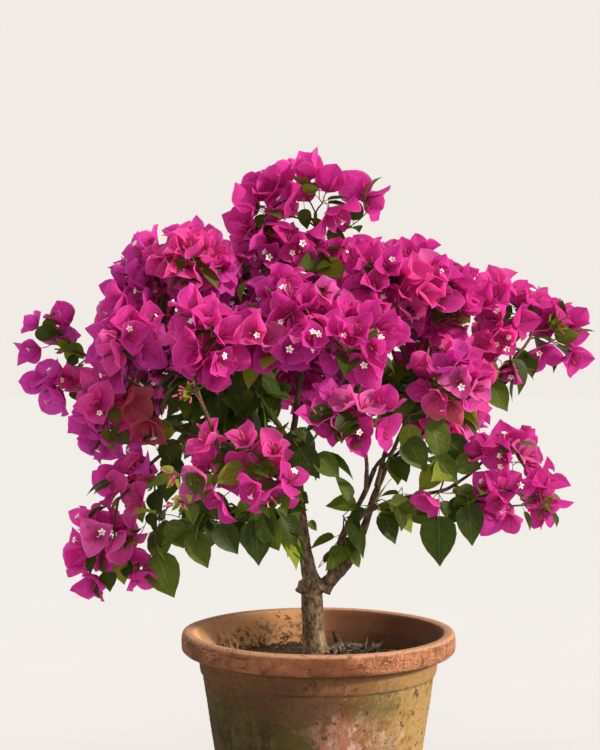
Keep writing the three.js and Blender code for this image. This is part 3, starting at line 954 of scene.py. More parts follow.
# Place along the tube, radius there as a share of TUBE_RADIUS.
TUBE_PROFILE = ((0, 0.7), (0.15, 1.15), (0.42, 1), (0.62, 0.75), (1, 1))
BUD_PROFILE = ((0, 0.7), (0.2, 1.1), (0.5, 0.85), (0.78, 1.35), (1, 0.25))
TUBE_RADIUS, TUBE_SIDES, TUBE_BEND = 1.05 * MM, 6, 0.12
OPEN_SHARE = 0.16  # of the true flowers, the rest are buds


def add_tubes(places, ways, lengths, profile, batch):
    """Bent tubes along ways. Returns their frames."""
    rows = frames(ways, scatter(len(places)))
    at, swell = np.array(profile, float).T
    sine, cosine = circle(TUBE_SIDES, TUBE_RADIUS).T
    lengths = lengths[:, None, None]
    rings = np.zeros((len(places), len(at), TUBE_SIDES, 3))
    rings[..., 0] = swell[:, None] * cosine
    rings[..., 1] = lengths * at[:, None]
    rings[..., 2] = swell[:, None] * sine + TUBE_BEND * lengths * at[:, None] ** 2
    batch.add(placed(rings.reshape(len(places), -1, 3), rows, places),
              grid_faces(len(at), TUBE_SIDES, closed=True, flip=True),
              grid_map(np.linspace(0.05, 0.95, TUBE_SIDES), 0.02 + 0.96 * at))
    return rows


def add_true_flowers(places, ways, lengths, tubes, buds, stars):
    opened = rng.uniform(size=len(places)) < OPEN_SHARE
    add_tubes(places[~opened], ways[~opened], lengths[~opened], BUD_PROFILE, buds)
    places, ways, lengths = places[opened], ways[opened], lengths[opened, None]
    rows = add_tubes(places, ways, lengths[:, 0], TUBE_PROFILE, tubes)
    add_stars(places + lengths * ways + TUBE_BEND * lengths * rows[:, 2], rows, stars)


STAR_RADIUS, STAR_POINTS = 4.3 * MM, 20
STAR_LOBE = [1.0, 0.86, 0.52, 0.86]


def add_stars(places, rows, stars):
    """Open flowers of five notched lobes round a sunken eye."""
    outer = np.tile(STAR_LOBE, 5)
    even = np.ones(STAR_POINTS)
    local, along = [np.array([[0.0, -0.5, 0.0]])], [np.zeros(1)]
    for share, height in (0.2 * even, -0.25), (0.45 * even + 0.1 * outer, 0.05), (outer, 0.12):
        sine, cosine = circle(STAR_POINTS).T
        local.append(np.stack([cosine * share, height * even, sine * share], 1))
        along.append(share)
    local, along = np.concatenate(local) + [0, 0.25, 0], np.concatenate(along)
    triangles = np.concatenate([
        fan(1 + np.arange(STAR_POINTS), 0),
        1 + grid_faces(3, STAR_POINTS, closed=True, flip=True),
    ])
    size = STAR_RADIUS * between(0.85, 1.15, len(places))
    stars.add(placed(local * size[:, None, None], rows, places), triangles,
              0.5 + 0.47 * local[:, [0, 2]], np.stack([0 * along, along], 1))


# ---- leaves ----
STALK_RADIUS, STALK_LENGTH = 0.45 * MM, (5 * MM, 9 * MM)
LEAF_WIDTH = (0.68, 0.84)
# Ranges of curl, and of tip, fold, cup and wave.
LEAF_CURL, SET_CURL = (-0.7, 0.1), (-0.4, 0.1)
LEAF_BEND = ((-0.4, 0.1), (4, 22), (-0.1, 0.2), (0.005, 0.025))


def add_leaves(places, forward, face, length, batch, stalks, curl=LEAF_CURL):
    n = len(places)
    rows = frames(forward, face)
    stem = between(*STALK_LENGTH, n)
    blades = LEAF.bend(places + stem[:, None] * rows[:, 1], rows, length,
                       length * between(*LEAF_WIDTH, n), (curl, *LEAF_BEND))
    batch.add(blades, LEAF.triangles, LEAF.tile, LEAF.blade)
    sine, cosine = np.tile(circle(3, STALK_RADIUS), (2, 1)).T
    local = np.repeat(np.stack([cosine, 0 * sine, sine], 1)[None], n, axis=0)
    local[:, 3:, 1] = (stem + 0.06 * length)[:, None]
    stalks.add(placed(local, rows, places), grid_faces(2, 3, closed=True, flip=True),
               grid_map([0.1, 0.5, 0.9], [0.1, 0.9]))


UNDERSIDE = ("right_underside", "underside")  # masses whose leaves face every way
TURNED = {True: 1.1, False: 0.45}  # how far leaves turn at random, there and elsewhere
STALK_REACH = 7  # mm, a stalk's mean length

# Leaves listed one by one: the middle of each in its mass's box, where it points, its length in mm
# and its green.
SET_LEAVES = {
    "left_fringe": (
        (-0.5, -0.5, -0.5, "DDDR", 47, "mid"), (-0.8, -0.4, -0.1, "DDRR", 40, "mid"),
        (-0.1, -0.6, -0.2, "DDR", 42, "dark"), (0.3, -0.5, -0.35, "D", 54, "dark"),
        (0.5, -0.6, -0.15, "DDDR", 48, "mid"), (0.75, -0.4, 0, "DDR", 40, "dark"),
        (-0.6, -0.1, 0.4, "DDL", 44, "dark"), (-0.25, 0.1, 0.5, "DR", 42, "dark"),
        (0.15, 0, 0.5, "DL", 44, "mid"), (0.6, 0.1, 0.5, "DR", 42, "dark"),
    ),
    "lower_left_leaves": (
        (-0.06, -0.2, -0.8, "DDDR", 58, "mid"), (0.7, -0.4, -0.25, "RD", 38, "mid"),
        (0.1, -0.3, 0.45, "D", 40, "dark"), (0.35, -0.2, 0.85, "DDR", 40, "dark"),
        (-0.6, 0.2, -0.35, "LD", 26, "mid"), (0.3, 0.3, 0.7, "DR", 34, "dark"),
    ),
    "right_fringe": (
        (0.1, -0.5, -0.5, "D", 60, "dark"), (0.65, -0.4, -0.1, "D", 50, "dark"),
        (0.55, -0.2, 0.65, "LLD", 34, "mid"), (-0.75, -0.3, -0.15, "DDR", 44, "dark"),
        (-0.5, -0.3, 0.4, "RRD", 34, "mid"), (-0.45, -0.4, -0.05, "RDD", 28, "fresh"),
        (0.4, 0.2, 0.2, "DL", 38, "dark"), (-0.2, 0.4, 0.1, "DR", 38, "mid"),
    ),
    "right_low_leaves": (
        (-0.15, -0.4, 0.55, "DDDR", 58, "mid"), (-0.75, -0.3, 0.1, "DDR", 46, "mid"),
        (0.75, -0.3, -0.2, "RRRD", 34, "mid"), (0.1, -0.4, -0.4, "DR", 42, "mid"),
        (-0.4, -0.2, -0.7, "DL", 38, "fresh"), (0.5, 0.2, 0.3, "DR", 44, "dark"),
        (-1, -0.3, 0.7, "D", 40, "fresh"),
    ),
    "right_underside": (
        (0.1, -0.2, -0.15, "DDDR", 46, "dark"), (-0.7, -0.2, -0.7, "DDR", 40, "mid"),
        (-1.1, -0.2, 0, "DDDR", 38, "fresh"), (-1.7, -0.2, -1, "D", 38, "fresh"),
        (-1.4, 0.1, -0.5, "DL", 36, "mid"), (0.4, 0.3, 0.3, "DR", 34, "mid"),
    ),
    "underside": (
        (-2.3, -0.3, -0.7, "LUUU", 36, "mid"), (-2.3, -0.3, -1.27, "LL", 38, "mid"),
        (-3.6, -0.1, -1.9, "RD", 16, "mid"), (-3.2, -0.3, -2.4, "LLD", 34, "mid"),
        (-2.7, -0.5, -3, "LD", 26, "fresh"), (-1.6, -0.2, -2.35, "DDR", 48, "mid"),
        (-0.3, -0.2, -1.95, "DDR", 40, "dark"), (0.45, -0.2, -1.5, "D", 40, "mid"),
        (-0.2, -0.1, -0.95, "L", 24, "mid"), (-2.6, 0.3, -2.8, "RU", 30, "dark"),
    ),
    "middle_leaves": (
        (0.2, -0.6, 0.2, "DDR", 46, "dark"), (0.75, -0.5, 0.1, "DR", 40, "mid"),
        (-0.3, -0.3, 0.5, "DDL", 46, "dark"), (0.1, 0, 0.8, "DR", 42, "dark"),
    ),
    "left_side": (
        (0.65, -0.3, -0.5, "DR", 30, "mid"), (1.7, -0.2, -0.45, "DL", 34, "fresh"),
        (1.3, 0, 0.1, "RD", 36, "dark"),
    ),
    "front_low_left": ((0.45, 0, -0.15, "LLDF", 40, "fresh"),),
    "front_low_middle": ((-0.3, 0, 0.05, "RRDF", 38, "mid"),),
    "left_tip_upper": (
        (0.9, 0.1, -0.5, "DR", 24, "mid"), (0.6, 0, -0.55, "LU", 18, "fresh"),
        (0.75, -0.2, -0.8, "DL", 20, "dark"),
    ),
    "tuft_middle": (
        (-0.4, -0.4, -0.8, "D", 26, "dark"), (0.8, 0, -1.2, "RRD", 28, "dark"),
        (-0.3, 0, 0, "LU", 18, "fresh"), (0, 0, 0.05, "RU", 18, "fresh"),
    ),
    "crown_top": ((0.9, -0.9, -0.5, "RRDF", 42, "fresh"), (0.4, -0.8, -0.3, "LLDF", 34, "mid")),
}


def set_leaves():
    """Feet, ways, lengths, greens and turns of the listed leaves."""
    found = []
    for name, place, (way, length, kind) in set_rows(SET_LEAVES):
        way = unit(way_of(way) + 0.1 * scatter(1)[0])
        found.append((place - (length / 2 + STALK_REACH) * MM * way, way, length * MM, kind,
                      TURNED[name in UNDERSIDE]))
    return map(np.array, zip(*found))


# Young shoots with small buds: the middle of each in its mass's box, and how many buds.
SET_SHOOTS = {
    "right_tip": ((-0.6, -0.4, 0.25, 16),),
    "lower_right_outer": ((-0.4, -0.4, -0.2, 12),),
    "right_shoulder": ((-1.4, -0.6, -0.6, 12),),
    "tuft_middle": ((-0.4, 0.1, -0.1, 12),),
    "left_tip_upper": ((0.8, -0.1, -0.4, 12),),
    "lower_left_tip": ((0.8, -0.2, 0.3, 10),),
    "lower_left_crest": ((1, -0.5, 0.2, 8),),
    "front_low_left": ((-0.9, -0.4, -0.1, 10), (-0.7, -0.5, -0.6, 10)),
    "front_left": ((-0.3, -0.8, -0.9, 12),),
    "back_middle": ((0.2, 0.9, 0.3, 12),),
    "back_left": ((-0.4, 0.9, 0.2, 10),),
    "back_right": ((0.4, 0.8, 0.4, 10),),
}


BUD_STALK, BUD_LENGTH, BUD_SPREAD = (5 * MM, 13 * MM), (5 * MM, 11 * MM), 12 * MM
BUD_STALK_RADII = np.array([0.45, 0.4, 0.35]) * MM
SMALLEST_LEAF, SMALLEST_SPREAD = (8 * MM, 17 * MM), 8 * MM


def add_shoots(feet, ways, counts, buds, batch, stalks):
    """A spray of buds on short stalks, with the smallest leaves among them."""
    for foot, way, (count,) in zip(feet, ways, counts):
        out = unit(way + 0.9 * scatter(count))
        length = between(*BUD_STALK, count)
        along = foot + between(0, BUD_SPREAD, count)[:, None] * way
        for start, direction, reach in zip(along, out, length):
            middle = start + 0.5 * reach * unit(direction + 0.3 * way)
            stalks.add_one(*sweep(np.array([start, middle, start + reach * direction]),
                                  BUD_STALK_RADII, 4))
        add_tubes(along + length[:, None] * out, loose(out, 0.2),
                  between(*BUD_LENGTH, count), BUD_PROFILE, buds)
        n = max(3, count // 2)
        add_leaves(foot + between(0, SMALLEST_SPREAD, n)[:, None] * way,
                   unit(way + 0.9 * scatter(n)), scatter(n), between(*SMALLEST_LEAF, n),
                   batch, stalks)


# ---- pot and soil: radius and height in mm ----
POT_COLUMNS, SOIL_COLUMNS = 360, 180
POT_STEP, SOIL_STEP, COARSE = 2.4, 3.2, 12
# From the flat of the underside round to the floor inside.
POT_PROFILE = (
    (84, 0), (101, 0), (104.6, 0.9), (106.2, 3.6), (143.9, 247.4), (145.4, 249.2), (146.6, 251),
    (149.4, 271), (151.6, 273.6), (160, 274.2), (166.4, 275.4), (169.4, 278.4), (170, 283),
    (170, 291), (169.5, 296.4), (167.6, 299.2), (164, 300), (157.5, 299.4), (153.6, 297.4),
    (151.2, 293), (147.6, 285), (140.6, 272), (137.2, 262), (96.8, 17.5), (95, 16.4), (84, 16.4),
)
POT_COARSE = (0, 22, 24)  # the underside, and the wall and floor under the soil
FOOT, RIM, INSIDE = 3, 12, 21  # points of the profile
BODY_TOP, COLLAR_FOOT, LIP_FOOT, COLLAR_TOP = 247, 250, 271, 272  # heights
EDGES = ((299, 4), (276, 3))  # the rim's two edges: height and reach
BASE_RADIUS, RING_GAP = 90, 7.5
DRAIN_CIRCLE, DRAIN_RADIUS, DRAIN_SIDES = 55, 8, 40
SOIL_PROFILE = ((0, 17), (95.6, 17.4), (136, 256.5), (120, 258.2), (75, 260.6), (25, 261.6),
                (0, 261.8))


def rows_along(profile, step, coarse=()):
    """The profile with a point about every step, where each lies along it, 0 to 1, and the
    row of each of its own points. Coarse stretches get fewer points."""
    profile = np.array(profile, float)
    lengths = np.linalg.norm(np.diff(profile, axis=0), axis=1)
    points, rows = [profile[:1]], [0]
    for i, (a, b, length) in enumerate(zip(profile, profile[1:], lengths)):
        n = max(1, int(round(length / step / (COARSE if i in coarse else 1))))
        points.append(a + (b - a) * (np.arange(1, n + 1) / n)[:, None])
        rows.append(rows[-1] + n)
    points = np.concatenate(points)
    run = np.r_[0, np.cumsum(np.linalg.norm(np.diff(points, axis=0), axis=1))]
    return points, run / run[-1], rows


def revolved(points, along, columns):
    """A surface of revolution: (rows, columns + 1, 3) in mm, its triangles and its map."""
    turn = np.linspace(0, TAU, columns + 1)
    grid = np.stack([-points[:, :1] * np.sin(turn), points[:, :1] * np.cos(turn),
                     np.repeat(points[:, 1:], columns + 1, axis=1)], axis=-1)
    places = grid_map(0.01 + 0.98 * turn / TAU, 0.01 + 0.98 * along)
    return grid, grid_faces(len(points), columns + 1), places


def closed_up(grid, triangles, places):
    grid[:, -1] = grid[:, 0]
    return grid.reshape(-1, 3) * MM, triangles, places


def pot_mesh():
    """A hand-thrown pot: slightly out of round, ringed, and chipped at its rim."""
    points, along, rows = rows_along(POT_PROFILE, POT_STEP, POT_COARSE)
    grid, triangles, places = revolved(points, along, POT_COLUMNS)
    radius, height, row = *points.T, np.arange(len(points))
    turn = np.linspace(0, TAU, POT_COLUMNS + 1)
    ring = np.stack([np.cos(turn), np.sin(turn), 0 * turn], 1)
    outward = grid * [1, 1, 0] / np.maximum(radius, 1)[:, None, None]
    foot, rim, inside = (rows[i] for i in (FOOT, RIM, INSIDE))
    outside = row < rim
    body = (row > foot) & (height < BODY_TOP) & outside
    walls = body | (height > COLLAR_FOOT) & (height < COLLAR_TOP) & outside
    lip = (row < inside) & (height > LIP_FOOT)

    def over(scale, shift):
        return field(grid.reshape(-1, 3), scale, shift).reshape(grid.shape[:2])

    def only(rows):
        return (1.0 * rows)[:, None]

    wobble = 0.9 * field(ring, 1.3, 3) * only(radius > BASE_RADIUS)
    rings = 0.16 * np.sin(height * TAU / RING_GAP + 1.3 * np.sin(height / 19))
    dents = 0.7 * over(0.035, 7) * only(walls)
    crust = np.clip(over(0.02, 9) + 0.25, 0, 0.6)
    rough = 0.16 * over(0.22, 1) + 0.3 * crust * over(0.55, 5)
    rough *= only((radius > BASE_RADIUS) & (height > 2))
    pits = -0.55 * np.clip(over(0.11, 13) - 0.42, 0, 1) * only(body)
    edge = sum(np.exp(-((height - middle) / reach) ** 2) for middle, reach in EDGES)
    chips = -5.5 * np.clip(over(0.045, 21) - 0.42, 0, 1) * only(edge * lip)
    grid += outward * (wobble + only(rings * walls) + dents + rough + pits + chips)[..., None]
    level = 0.8 * field(ring * [1, 1, 0], 1.7, 11) * only(np.clip((height - 240) / 50, 0, 1))
    grid[..., 2] += level + chips * 0.5
    return closed_up(grid, triangles, places)


def pot_base():
    """The flat middle of the base: both faces, and the walls of its drain holes."""
    middles = circle(3, DRAIN_CIRCLE)[:, ::-1]
    loops = [circle(POT_COLUMNS, POT_PROFILE[0][0])]
    loops += [middle + circle(DRAIN_SIDES, DRAIN_RADIUS) for middle in middles]
    edges, start = [], 0
    for loop in loops:
        edges += [(start + i, start + (i + 1) % len(loop)) for i in range(len(loop))]
        start += len(loop)
    filled = delaunay_2d_cdt([Vector(p) for p in np.concatenate(loops)], edges, [], 0, 1e-5)
    flat, triangles = np.array(filled[0]), np.array(filled[2])
    apart = np.linalg.norm(flat[triangles].mean(1)[:, None] - middles, axis=2).min(1)
    triangles = triangles[apart > DRAIN_RADIUS * 0.98]
    sheet = [0.25, 0.5] + flat / 400

    def levels(loop):
        return [np.c_[loop, np.full(len(loop), z)] for z in (0, POT_PROFILE[-1][1])]

    points, places = levels(flat), [sheet, sheet + [0.5, 0]]
    faces = [triangles[:, ::-1], triangles + len(flat)]
    across = 0.02 + 0.9 * np.arange(DRAIN_SIDES) / DRAIN_SIDES
    for k, loop in enumerate(loops[1:]):
        faces.append(sum(map(len, points)) + grid_faces(2, DRAIN_SIDES, closed=True, flip=True))
        points += levels(loop)
        places.append(grid_map(across, [0.02 + 0.05 * k, 0.05 + 0.05 * k]))
    return np.concatenate(points) * MM, np.concatenate(faces), np.concatenate(places)


def pot_look():
    """Weathered terracotta: moss low on the left, darkened there as painted shade, a pale bloom in
    front, ochre on the right that is partly painted light, a crusty rim with painted shade under
    it, and a stained inside wall with painted light on its left and painted shade on its right."""
    look = Look("terracotta", (0.148, 0.056, 0.021))
    x, y, z = look.x, look.y, look.z
    lay, step, off, times, scaled = look.lay, look.step, look.off, look.times, look.scaled
    broad = look.noise(9, 5, 0.6)
    patch = look.noise(26, 6, 0.68)
    grain = look.noise(110, 6, 0.72)
    speck = look.noise(430, 3, 0.65)
    streak = look.noise(60, 5, 0.7, (1, 1, 0.35))

    def total(terms, start=None):
        """The sum of scaled values, each as (value, factor, shift)."""
        for term in terms:
            start = look.math("ADD", start, scaled(*term)) if start else scaled(*term)
        return start

    ragged = total([(broad, 1.1, -0.55), (grain, 0.9, -0.45), (patch, 0.9, -0.45)])

    def mask(width, *terms):
        """A patch where its terms outweigh each other, with a ragged edge."""
        return step(total(terms, ragged), -width, width)

    def line(scale, width, detail=3, stretch=None):
        """Thin wandering lines."""
        return off(look.noise(scale, detail, 0.6, stretch), 0.5), width, 0.3 * width

    lay((0.266, 0.116, 0.046), 1, (patch, 0.34, 0.66))
    lay((0.096, 0.037, 0.016), 0.7, (grain, 0.5, 0.66))
    body = times(step(z, 0.272, 0.262), step(z, 0.0005, 0.005))
    front, right = step(y, 0.04, -0.03), step(x, 0.02, 0.07)
    moss_and_shade = mask(0.06, (x, -5, -0.22), (z, -10, 1.98))
    for over, share, *masks in (
        # lighter ochre over the right: partly its own colour, partly painted light
        ((0.3, 0.192, 0.064), 0.85, mask(0.16, (x, 5, -0.3))),
        ((0.096, 0.085, 0.021), 0.8,
         mask(0.22, (off(x, 0.06), -5, 0.1), (off(z, 0.225), -4, 0.06))),
        ((0.285, 0.115, 0.078), 0.85, front,
         mask(0.14, (off(x, -0.018), -4.6, 0.26), (off(z, 0.174), -5, 0.22))),
        ((0.429, 0.311, 0.252), 0.8, front,
         mask(0.1, (off(x, 0), -5, 0.24), (off(z, 0.19), -8, 0.24)),
         (streak, 0.44, 0.56), (grain, 0.42, 0.54)),
        ((0.385, 0.266, 0.163), 0.7, (x, 0.03, 0.08), (speck, 0.5, 0.62), (patch, 0.42, 0.56)),
        # painted shade: darker brown over the left half, away from the light
        ((0.092, 0.052, 0.019), 0.75, mask(0.12, (x, -4, -0.05), (z, -0.8, 0.17))),
        # painted shadow of the rim, in a band under the collar on the left
        ((0.07, 0.032, 0.013), 0.8, (x, 0.1, 0.02), mask(0.16, (off(z, 0.236), -14, 0.22))),
        # moss low on the left, its darkness partly painted shade
        ((0.062, 0.046, 0.01), 0.92, moss_and_shade),
        # near-black patches low and on the left: dark moss and painted shade
        ((0.018, 0.014, 0.003), 0.85, mask(0.2, (x, -3, -0.18), (z, -8, 1.6)),
         (grain, 0.64, 0.44), (patch, 0.62, 0.42)),
        ((0.12, 0.075, 0.03), 0.6, moss_and_shade, (streak, 0.52, 0.62), (speck, 0.42, 0.58)),
        ((0.15, 0.095, 0.034), 0.65, right, (patch, 0.5, 0.62)),
        ((0.095, 0.08, 0.02), 0.6, right, (broad, 0.5, 0.58), (grain, 0.46, 0.58)),
        ((0.044, 0.021, 0.009), 0.85, (look.noise(100, 4, 0.6), 0.6, 0.65)),
        ((0.37, 0.296, 0.222), 0.45, line(150, 0.018, 2, (1, 1, 0.4)), (patch, 0.44, 0.58),
         (x, -0.03, 0.03)),
    ):
        lay(over, share, body, *masks)
    # the rim: pinker, paler and crusted towards the right, with hair cracks
    rim, crack = step(z, 0.2732, 0.2748), (0.056, 0.022, 0.013)
    lay(look.mix(step(patch, 0.36, 0.64), (0.14, 0.048, 0.02), (0.262, 0.1, 0.047)), 1, rim)
    for over, share, *masks in (
        ((0.111, 0.041, 0.023), 0.55, (grain, 0.5, 0.64)),
        ((0.42, 0.195, 0.112), 0.8, mask(0.16, (x, 2.4, -0.12)), (speck, 0.44, 0.56)),
        ((0.52, 0.3, 0.185), 0.8, (z, 0.2955, 0.299), (grain, 0.3, 0.48)),
        (crack, 0.6, line(30, 0.01, 1), (patch, 0.46, 0.54)),
        (crack, 0.6, line(8, 0.0035, 4)),
        (crack, 0.7, line(26, 0.022, 4, (0.5, 0.5, 2.6)), (streak, 0.44, 0.54),
         (z, 0.2965, 0.294)),
        ((0.4, 0.19, 0.11), 0.5, line(20, 0.03, 4, (0.5, 0.5, 3)), (broad, 0.44, 0.54)),
    ):
        lay(over, share, rim, *masks)
    # the collar under the rim, smoother, with painted shade under the rim that is deeper on the
    # left, painted shade in the cove under the lip, and a dark line along its foot
    collar = times(step(z, 0.247, 0.25), step(z, 0.2748, 0.2732))
    # painted shade on the collar under the rim, deeper on the left
    lay(look.mix(step(x, 0, 0.1), (0.115, 0.046, 0.018), (0.244, 0.115, 0.05)), 0.4, collar)
    cove = times(step(z, 0.266, 0.2725), step(z, 0.2755, 0.2738))
    # painted shade in the cove under the lip
    lay((0.044, 0.018, 0.009), 0.75, cove)
    lay((0.044, 0.021, 0.01), 0.6, (off(z, 0.2482), 0.0018, 0.0006), (patch, 0.42, 0.54))
    # painted light on the inside wall's left and painted shade on its right, and stains down the
    # inside wall
    radius = look.math("POWER", look.math("ADD", times(x, x), times(y, y)), 0.5)
    slope = look.math("ADD", radius, scaled(z, -0.4, 0.1048))
    inner, inside_painted_shade = times(step(slope, 0.142, 0.1405), step(z, 0.2, 0.25)), step(x, -0.05, 0.03)
    # painted light on the left of the inside wall, painted shade on its right
    lay(look.mix(inside_painted_shade, (0.64, 0.36, 0.17), (0.125, 0.056, 0.027)), 0.9, inner)
    lay(look.mix(inside_painted_shade, (0.48, 0.235, 0.105), (0.18, 0.072, 0.034)), 0.6, inner,
        (patch, 0.46, 0.64))
    lay((0.1, 0.052, 0.026), 0.7, inner, (streak, 0.54, 0.62), (z, 0.292, 0.268))
    lay((0.115, 0.058, 0.026), 0.8, inner, (grain, 0.5, 0.58),
        mask(0.1, (off(x, -0.045), -7, 0.34), (z, -22, 6.2)))
    height = scaled(grain, 0.7, times(speck, 0.45))
    return look.finish(scaled(grain, 0.15, 0.8), 0.18, (height, 1.2, 0.9))


def soil_mesh():
    """Crumbly soil, higher in mounds and with cracks."""
    points, along, _ = rows_along(SOIL_PROFILE, SOIL_STEP)
    below = np.argmax(points[:, 0])
    thin = np.r_[0, below // 2, np.arange(below, len(points))]
    grid, triangles, places = revolved(points[thin], along[thin], SOIL_COLUMNS)
    flat = grid.reshape(-1, 3)
    top = (flat[:, 2] > 250) & (np.linalg.norm(flat[:, :2], axis=1) < 134)
    lumps = (1.5 * field(flat, 0.05, 2) + 1.1 * np.abs(field(flat, 0.16, 4))
             + 0.6 * field(flat, 0.4, 6))
    flat[:, 2] += np.where(top, lumps, 0)
    return closed_up(grid, triangles, places)


# Shards of bark: places along a shard with its widths there, and the corners of its section.
CHIP_ALONG, CHIP_TAPER = np.array([(-0.5, 0.6), (-0.28, 0.95), (0, 1), (0.27, 0.85), (0.5, 0.4)]).T
CHIP_CORNERS = np.array([(-1, -1), (-0.2, -1.25), (1, -0.8), (0.9, 0.9), (0.1, 1.2), (-1, 0.8)])
CORNER_SPREAD, END_SPREAD, THICKNESS, BOW = (0.65, 1.3), 0.08, (0.14, 0.3), 0.9


def add_chips(places, ways, ups, lengths, widths, batch):
    """Split shards of bark: a bent, tapered slab with broken ends each."""
    n, k = len(places), len(CHIP_CORNERS)
    shape = n, len(CHIP_ALONG), k
    rows = frames(ways, ups)
    jitter = rng.uniform(*CORNER_SPREAD, (*shape, 2))
    slab = CHIP_CORNERS * jitter * CHIP_TAPER[:, None, None] / 2
    thick = between(*THICKNESS, n)
    lengths, widths, thick = (values[:, None, None] for values in (lengths, widths, thick))
    points = np.zeros((*shape, 3))
    points[..., 0] = slab[..., 0] * widths
    points[..., 1] = (CHIP_ALONG[:, None] + rng.uniform(-END_SPREAD, END_SPREAD, shape)) * lengths
    bow = between(-BOW, BOW, n)[:, None, None] * CHIP_ALONG[:, None] ** 2
    points[..., 2] = slab[..., 1] * widths * thick + bow * lengths * 0.5
    end = np.stack([np.zeros(k - 2, int), np.arange(1, k - 1), np.arange(2, k)], 1)
    triangles = np.concatenate([grid_faces(*shape[1:], closed=True, flip=True), end,
                                (shape[1] - 1) * k + end[:, ::-1]])
    batch.add(placed(points.reshape(n, -1, 3), rows, places), triangles,
              grid_map(np.linspace(0.05, 0.95, k), 0.5 + 0.96 * CHIP_ALONG))


SOIL_TOP, SOIL_RADIUS = 0.261, 0.128
HEAPED, CRUMBS, WALL_BITS = 96, 420, 190
HEAP_ANGLES, HEAP_REACH, HEAP_HEIGHT = (-0.9, 1.1), (0.02, 0.092), 0.015
CHIP_LENGTH, CHIP_WIDTH, CRUMB, WALL_BIT = (
    (0.018, 0.05), (0.005, 0.011), (0.002, 0.0075), (0.001, 0.0036))
# A chip that stands at the trunk: place, way, up, length and width.
STANDING = (0.026, 0.045, SOIL_TOP + 0.016), (-0.55, 0, 1), (0, -1, 0), 0.028, 0.008


def around(angle, reach, height):
    return np.stack([reach * np.cos(angle), reach * np.sin(angle), height], 1)


def soil_litter():
    """Chips heaped to the right of the trunk, crumbs everywhere, and dirt on the inside wall."""
    chips = Batch("bark_chips", "soil", chip_look())
    n = HEAPED
    angle, reach = between(*HEAP_ANGLES, n), between(*HEAP_REACH, n)
    heap = between(0, HEAP_HEIGHT, n) * np.clip(1.5 - reach / 0.08, 0.3, 1)
    add_chips(around(angle, reach, SOIL_TOP + heap) + [0.004, -0.004, 0],
              unit(scatter(n) * [1.3, 1, 0.18]), unit(UP + 0.5 * scatter(n)),
              between(*CHIP_LENGTH, n), between(*CHIP_WIDTH, n), chips)
    add_chips(*(np.array([value], float) for value in STANDING), chips)
    n = CRUMBS
    angle, reach = between(0, TAU, n), SOIL_RADIUS * np.sqrt(between(0.03, 1, n))
    height = SOIL_TOP - 0.0015 + between(0, 0.002, n) - 0.003 * (reach / SOIL_RADIUS) ** 2
    size = between(*CRUMB, n) * between(0.5, 1, n)
    add_chips(around(angle, reach, height), unit(scatter(n) * [1, 1, 0.4]), scatter(n),
              1.5 * size, size, chips)
    dirt = Batch("wall_dirt", "soil",
                 earth_look("wall_dirt", (0.08, 0.042, 0.02), (0.2, 0.11, 0.052), 1, 0.8))
    n = WALL_BITS  # fewer higher up
    angle = np.pi / 2 + 0.45 + 0.38 * rng.standard_normal(n)
    height = 0.256 + 0.016 * between(0, 1, n) ** 2.0
    reach = 0.1372 + 0.43 * (height - 0.262)
    size = between(*WALL_BIT, n)
    add_chips(around(angle, reach, height), scatter(n), scatter(n), 1.5 * size, size, dirt)
    for batch in chips, dirt:
        batch.make()


# ---- trunk and boughs ----
VOXEL = 1.15 * MM
# How much thicker trunk and stems are than the CAD's, at their feet, and how fast that fades.
TRUNK_SWELL, TRUNK_FLARE, TRUNK_FADE = 1.02, 0.4 * MM, 9 * MM
STEM_SWELL, STEM_FLARE, STEM_FADE = 1.2, 0.55, 22 * MM
# Knobs in the fork and along the trunk, from its top in mm, with their sizes.
KNOBS = ((-5, -4, -7, 11), (7, -4, -3, 11), (1, -8, -14, 8), (-3, 7, -4, 11), (6, -6, -48, 6))
KNOB_SHAPE = (0.45, 0.85, 1, 0.85, 0.45)
# The stub of a lost branch: its line and radii.
STUB = ((-5, -3, -5, 6), (-7, -4, -2, 5.4), (-9, -4.5, 2, 4.4), (-10, -5, 5, 2.8))


def modified(mesh, **modifiers):
    """A copy of a mesh with modifiers applied, each a kind and its settings."""
    piece = link(bpy.data.objects.new("raw", mesh))
    for kind, settings in modifiers.items():
        modifier = piece.modifiers.new(kind, kind)
        for key, value in settings.items():
            setattr(modifier, key, value)
    graph = bpy.context.evaluated_depsgraph_get()
    result = bpy.data.meshes.new_from_object(piece.evaluated_get(graph))
    bpy.data.objects.remove(piece)
    return result


